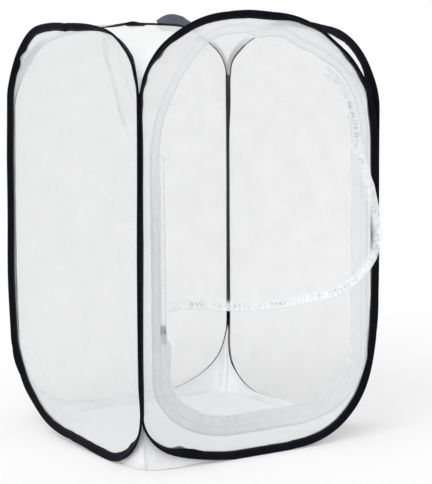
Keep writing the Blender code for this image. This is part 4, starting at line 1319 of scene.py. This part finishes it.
def make_window_zip(tape, coil):
    """The door's side of the zip above the slider."""
    heights = [mix(SLIDER_FOOT + 0.001, ZIP_END_HEIGHT, step / 80) for step in range(81)]
    x_tape = -DOOR_HALF_WIDTH + WINDOW_TAPE_INSET
    rows = []
    for z in heights:
        wave = 0.0003 * wobble(51, (z, 0.0), 0.02)
        rows.append([to_world("front", x_tape + 0.0004 * step, z, 0.0006 + wave) for step in range(5)])
    made = add_surface("window_zip_tape_strip", rows,
                       lambda row, column: (heights[row], 0.0004 * column), tape)
    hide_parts("window_zip_tape")
    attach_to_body(made, "front")
    spots = [to_world("front", -DOOR_HALF_WIDTH + WINDOW_COIL_INSET, z, 0.0003) for z in heights]
    teeth = add_coil("window_zip_teeth", spots, coil)
    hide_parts("window_zip_coil")
    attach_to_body(teeth, "front")


def make_flap_zip(sparkle, coil):
    """Crinkled edging of the free part of the door, with its half of the zip along the edge."""
    points = flap_edge()[1:]
    cells = []
    for point in points:
        reach = point[4]
        line = []
        for step in range(10):
            share = step / 9
            inset = 0.0016 + 0.0150 * share
            crinkle = 0.0010 * wobble(61, (reach, inset), 0.007) + 0.0014 * wobble(63, (reach, inset), 0.02)
            depth = crinkle * math.sin(math.pi * min(1.0, share + 0.2))
            line.append((door_place(*inset_from(point, inset), depth), (reach, inset)))
        cells.append(line)
    made = add_placed("flap_zip_edging", cells, sparkle)
    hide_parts("flap_zip_tape")
    attach_flap(made)
    spots = [door_place(*inset_from(point, 0.0008), 0.0006 * wobble(61, (point[4], 0.0), 0.01))
             for point in points]
    teeth = add_coil("flap_zip_teeth", spots, coil)
    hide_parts("flap_zip_coil")
    attach_flap(teeth)


# Webbing loop

def loop_spot(across, depth, up):
    """A point of the loop's own frame: across to its left seen from behind, out of the back panel, and up."""
    cos, sin = math.cos(LOOP_TILT), math.sin(LOOP_TILT)
    return Vector((LOOP_X - across * cos + up * sin, LOOP_DEPTH + depth, LOOP_Z + across * sin + up * cos))


def strap(name, spots, material):
    """Webbing through spots, each with its lower edge, the way up its width and the way it faces."""
    rows, around = [], []
    reaches = reaches_along([low for low, up, facing in spots])
    middle = [(share, 1.0) for share in (0.2, 0.4, 0.6, 0.8)]
    for share, half in [(0.0, 0.35), (0.04, 0.9), *middle, (0.96, 0.9), (1.0, 0.35)]:
        around.append((share, half * WEBBING_THICKNESS / 2))
    loop = around + [(share, -half) for share, half in around[::-1]]
    for low, up, facing in spots:
        rows.append([low + up * (WEBBING_WIDTH * share) + facing * half for share, half in loop])
    places = [share * WEBBING_WIDTH for share, half in around] + \
             [(2 - share) * WEBBING_WIDTH for share, half in around[::-1]] + [2 * WEBBING_WIDTH]
    return add_surface(name, rows, lambda row, column: (reaches[row], places[column]), material, wrap=True)


def make_webbing_loop(material, thread):
    """Webbing that stands up behind the hoop in its middle and leans back to its sewn ends."""
    spots = []
    for step in range(41):
        along = -1 + step / 20
        swell = math.cos(math.pi / 2 * along) ** 0.8
        lean = math.radians(eased(LOOP_LEAN, along))
        up = loop_spot(0.0, math.sin(lean), math.cos(lean)) - loop_spot(0.0, 0.0, 0.0)
        low = loop_spot(along * LOOP_SPAN, LOOP_BASE_DEPTH + LOOP_BOW * swell, LOOP_RISE + LOOP_LIFT * swell)
        spots.append([low, up.normalized()])
    made = []
    for index, (low, up) in enumerate(spots):
        before, after = spots[max(0, index - 1)][0], spots[min(len(spots) - 1, index + 1)][0]
        facing = (after - before).cross(up).normalized()
        made.append((low, up, facing))
    band = strap("webbing_loop_band", made, material)
    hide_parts("webbing_loop")
    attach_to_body(band, "webbing_loop")
    for name, sign in (("left", -1), ("right", 1)):
        foot = folded_end(f"webbing_{name}_end", sign, material)
        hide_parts(f"webbing_loop_{name}_end")
        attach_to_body(foot, "back")
        up = loop_spot(0.0, 0.0, 1.0) - loop_spot(0.0, 0.0, 0.0)
        spots = []
        for row in range(3):
            for step in range(4):
                across = sign * (LOOP_SPAN + 0.0025 + 0.0028 * row)
                spot = loop_spot(across, LOOP_FOLD[0][0] + 0.0011, 0.0100 + 0.0016 * step)
                spots.append((spot, up, Vector((0, 1, 0))))
        bartack = add_stitches(f"webbing_{name}_end_stitching", spots, thread, 0.0028, 0.0003)
        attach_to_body(bartack, "back")


def folded_end(name, sign, material):
    """One end of the loop's webbing, folded over the binding from behind to the front."""
    path = [Vector(spot) for spot in LOOP_FOLD]
    halved = [(first, first.lerp(second, 0.5)) for first, second in zip(path, path[1:])]
    path = [spot for pair in halved for spot in pair] + [path[-1]]
    outer = [(0.0, 0.3), (0.05, 0.9), (0.5, 1.0), (0.95, 0.9), (1.0, 0.3)]
    rows, reaches = [], reaches_along(path)
    for index, spot in enumerate(path):
        before, after = path[max(0, index - 1)], path[min(len(path) - 1, index + 1)]
        run = (after - before).normalized()
        out = Vector((run.y, -run.x)) * (WEBBING_THICKNESS / 2)
        ring = []
        for share, half in outer + [(share, -half) for share, half in outer[::-1]]:
            ring.append((LOOP_SPAN - 0.001 + (LOOP_FOOT_LENGTH + 0.001) * share, spot + out * half))
        rows.append([loop_spot(sign * across, place.x, place.y) for across, place in ring])
    return add_surface(name, rows, lambda row, column: (0.0021 * column, reaches[row]), material, wrap=True)


# Stage

def floor_material():
    """Pale floor that reads white to the camera and still takes the cage's shadow."""
    made = bpy.data.materials.new("floor_paper")
    made.use_nodes = True
    graph = Graph(made.node_tree)
    graph.tree.nodes.clear()
    paper = graph.node("ShaderNodeBsdfDiffuse")
    graph.feed(paper.inputs["Color"], FLOOR_COLOUR)
    glow = graph.node("ShaderNodeEmission")
    seen = graph.node("ShaderNodeLightPath").outputs["Is Camera Ray"]
    graph.feed(glow.inputs["Strength"], graph.times(seen, FLOOR_GLOW))
    added = graph.node("ShaderNodeAddShader")
    graph.feed(added.inputs[0], paper.outputs[0])
    graph.feed(added.inputs[1], glow.outputs[0])
    graph.feed(graph.node("ShaderNodeOutputMaterial").inputs["Surface"], added.outputs[0])
    return made


def make_stage():
    bpy.ops.mesh.primitive_plane_add(size=30, location=(0, 0, -0.0003))
    floor = bpy.context.object
    floor.name = "floor"
    floor.data.materials.append(floor_material())
    world = bpy.data.worlds.new("studio")
    bpy.context.scene.world = world
    world.use_nodes = True
    graph = Graph(world.node_tree)
    path = graph.node("ShaderNodeLightPath")
    seen = graph.math("MAXIMUM", path.outputs["Is Camera Ray"], path.outputs["Is Glossy Ray"])
    shown = graph.math("MAXIMUM", seen, path.outputs["Is Transmission Ray"])
    background = graph.tree.nodes["Background"].inputs
    graph.feed(background["Strength"], graph.spread(shown, 0.0, 1.0, STUDIO_LEVEL, 1.0))
    graph.feed(background["Color"], (1.0, 1.0, 1.0, 1.0))
    key = bpy.data.lights.new("key", "SUN")
    key.energy = KEY_LEVEL * math.pi
    key.angle = KEY_ANGLE
    lamp = add_object("key", key)
    lamp.rotation_euler = KEY_FROM.to_track_quat("Z", "Y").to_euler()


def make_camera():
    lens = bpy.data.cameras.new("camera")
    lens.sensor_width = 36.0
    lens.lens = CAMERA_FOCAL_PIXELS / FRAME_HEIGHT_PIXELS * lens.sensor_width
    made = add_object("camera", lens)
    made.location = CAMERA_PLACE
    aim = CAMERA_AIM.to_track_quat("-Z", "Y")
    made.rotation_euler = (aim @ Euler((0, 0, CAMERA_ROLL)).to_quaternion()).to_euler()
    bpy.context.scene.camera = made
    bpy.context.scene.view_settings.view_transform = "Standard"


def finish_kept_nodes():
    """Better materials for the CAD nodes that stay as they are."""
    enamel = metal_material("slider_enamel_worn", (0.50, 0.51, 0.53), 0.35, 0.0, 0.0012)
    worn_tab = metal_material("pull_tab_enamel_worn", (0.60, 0.61, 0.63), 0.35, 0.0, 0.0012)
    nylon = coil_material("stop_nylon")
    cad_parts["zip_slider"].material_slots[0].material = enamel
    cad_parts["zip_pull_tab"].material_slots[0].material = worn_tab
    for node in ("zip_start_stop", "zip_end_stop"):
        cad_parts[node].material_slots[0].material = nylon


def main():
    make_camera()
    make_stage()
    black = binding_material("black_binding_tape")
    thread_black = thread_material("black_thread", (0.03, 0.03, 0.04))
    thread_white = thread_material("white_thread", (0.80, 0.81, 0.83))
    wire = metal_material("spring_wire_steel", (0.42, 0.42, 0.43), 0.35, 1.0)
    sleeve = metal_material("sleeve_steel_dull", (0.55, 0.55, 0.56), 0.4, 1.0)
    net = netting_material("white_netting", NET_COLOURS, NET_COVER)
    # The same netting painted darker and denser, as painted shade, for the back and right panels
    painted_shade_net = netting_material("white_netting_painted_shade", PAINTED_SHADE_NET_COLOURS, PAINTED_SHADE_NET_COVER)
    top_cloth = cloth_material("white_taffeta_top", TOP_COLOURS, TOP_COVER, TOP_THROUGH)
    base_cloth = cloth_material("white_taffeta_base", BASE_COLOURS, BASE_COVER, BASE_THROUGH)
    inner_tape = inner_tape_material("white_inner_tape")
    for side in ACROSS:
        make_sleeve(side, sleeve)
        for right in (True, False):
            make_binding(side, right, black)
            make_wire(side, right, wire)
            make_binding_stitches(side, right, thread_black)
        if side != "front":
            make_plain_net(side, net if side == "left" else painted_shade_net)
    make_front_net(net)
    make_top(top_cloth)
    make_base(base_cloth)
    for side, start, end in INNER_TAPES:
        make_inner_tape(side, start, end, inner_tape)
    facing = tape_material("facing_tape", TAPE_PAINTED_SHADE_COLOUR, FACING_COLOUR, 0.86, 0.68)
    free_tape = tape_material("zip_tape", TAPE_PAINTED_SHADE_COLOUR, ZIP_TAPE_COLOUR, 0.80, 0.56, 0.9)
    coil = coil_material("zip_nylon")
    make_facing(facing, thread_white)
    make_frame_zip(free_tape, coil)
    make_window_zip(free_tape, coil)
    make_film(film_material("clear_door_film"))
    make_flap_zip(sparkle_material("flap_edging"), coil)
    webbing = webbing_material("grey_webbing_weave")
    make_webbing_loop(webbing, thread_material("webbing_thread", (0.05, 0.05, 0.08)))
    finish_kept_nodes()


main()
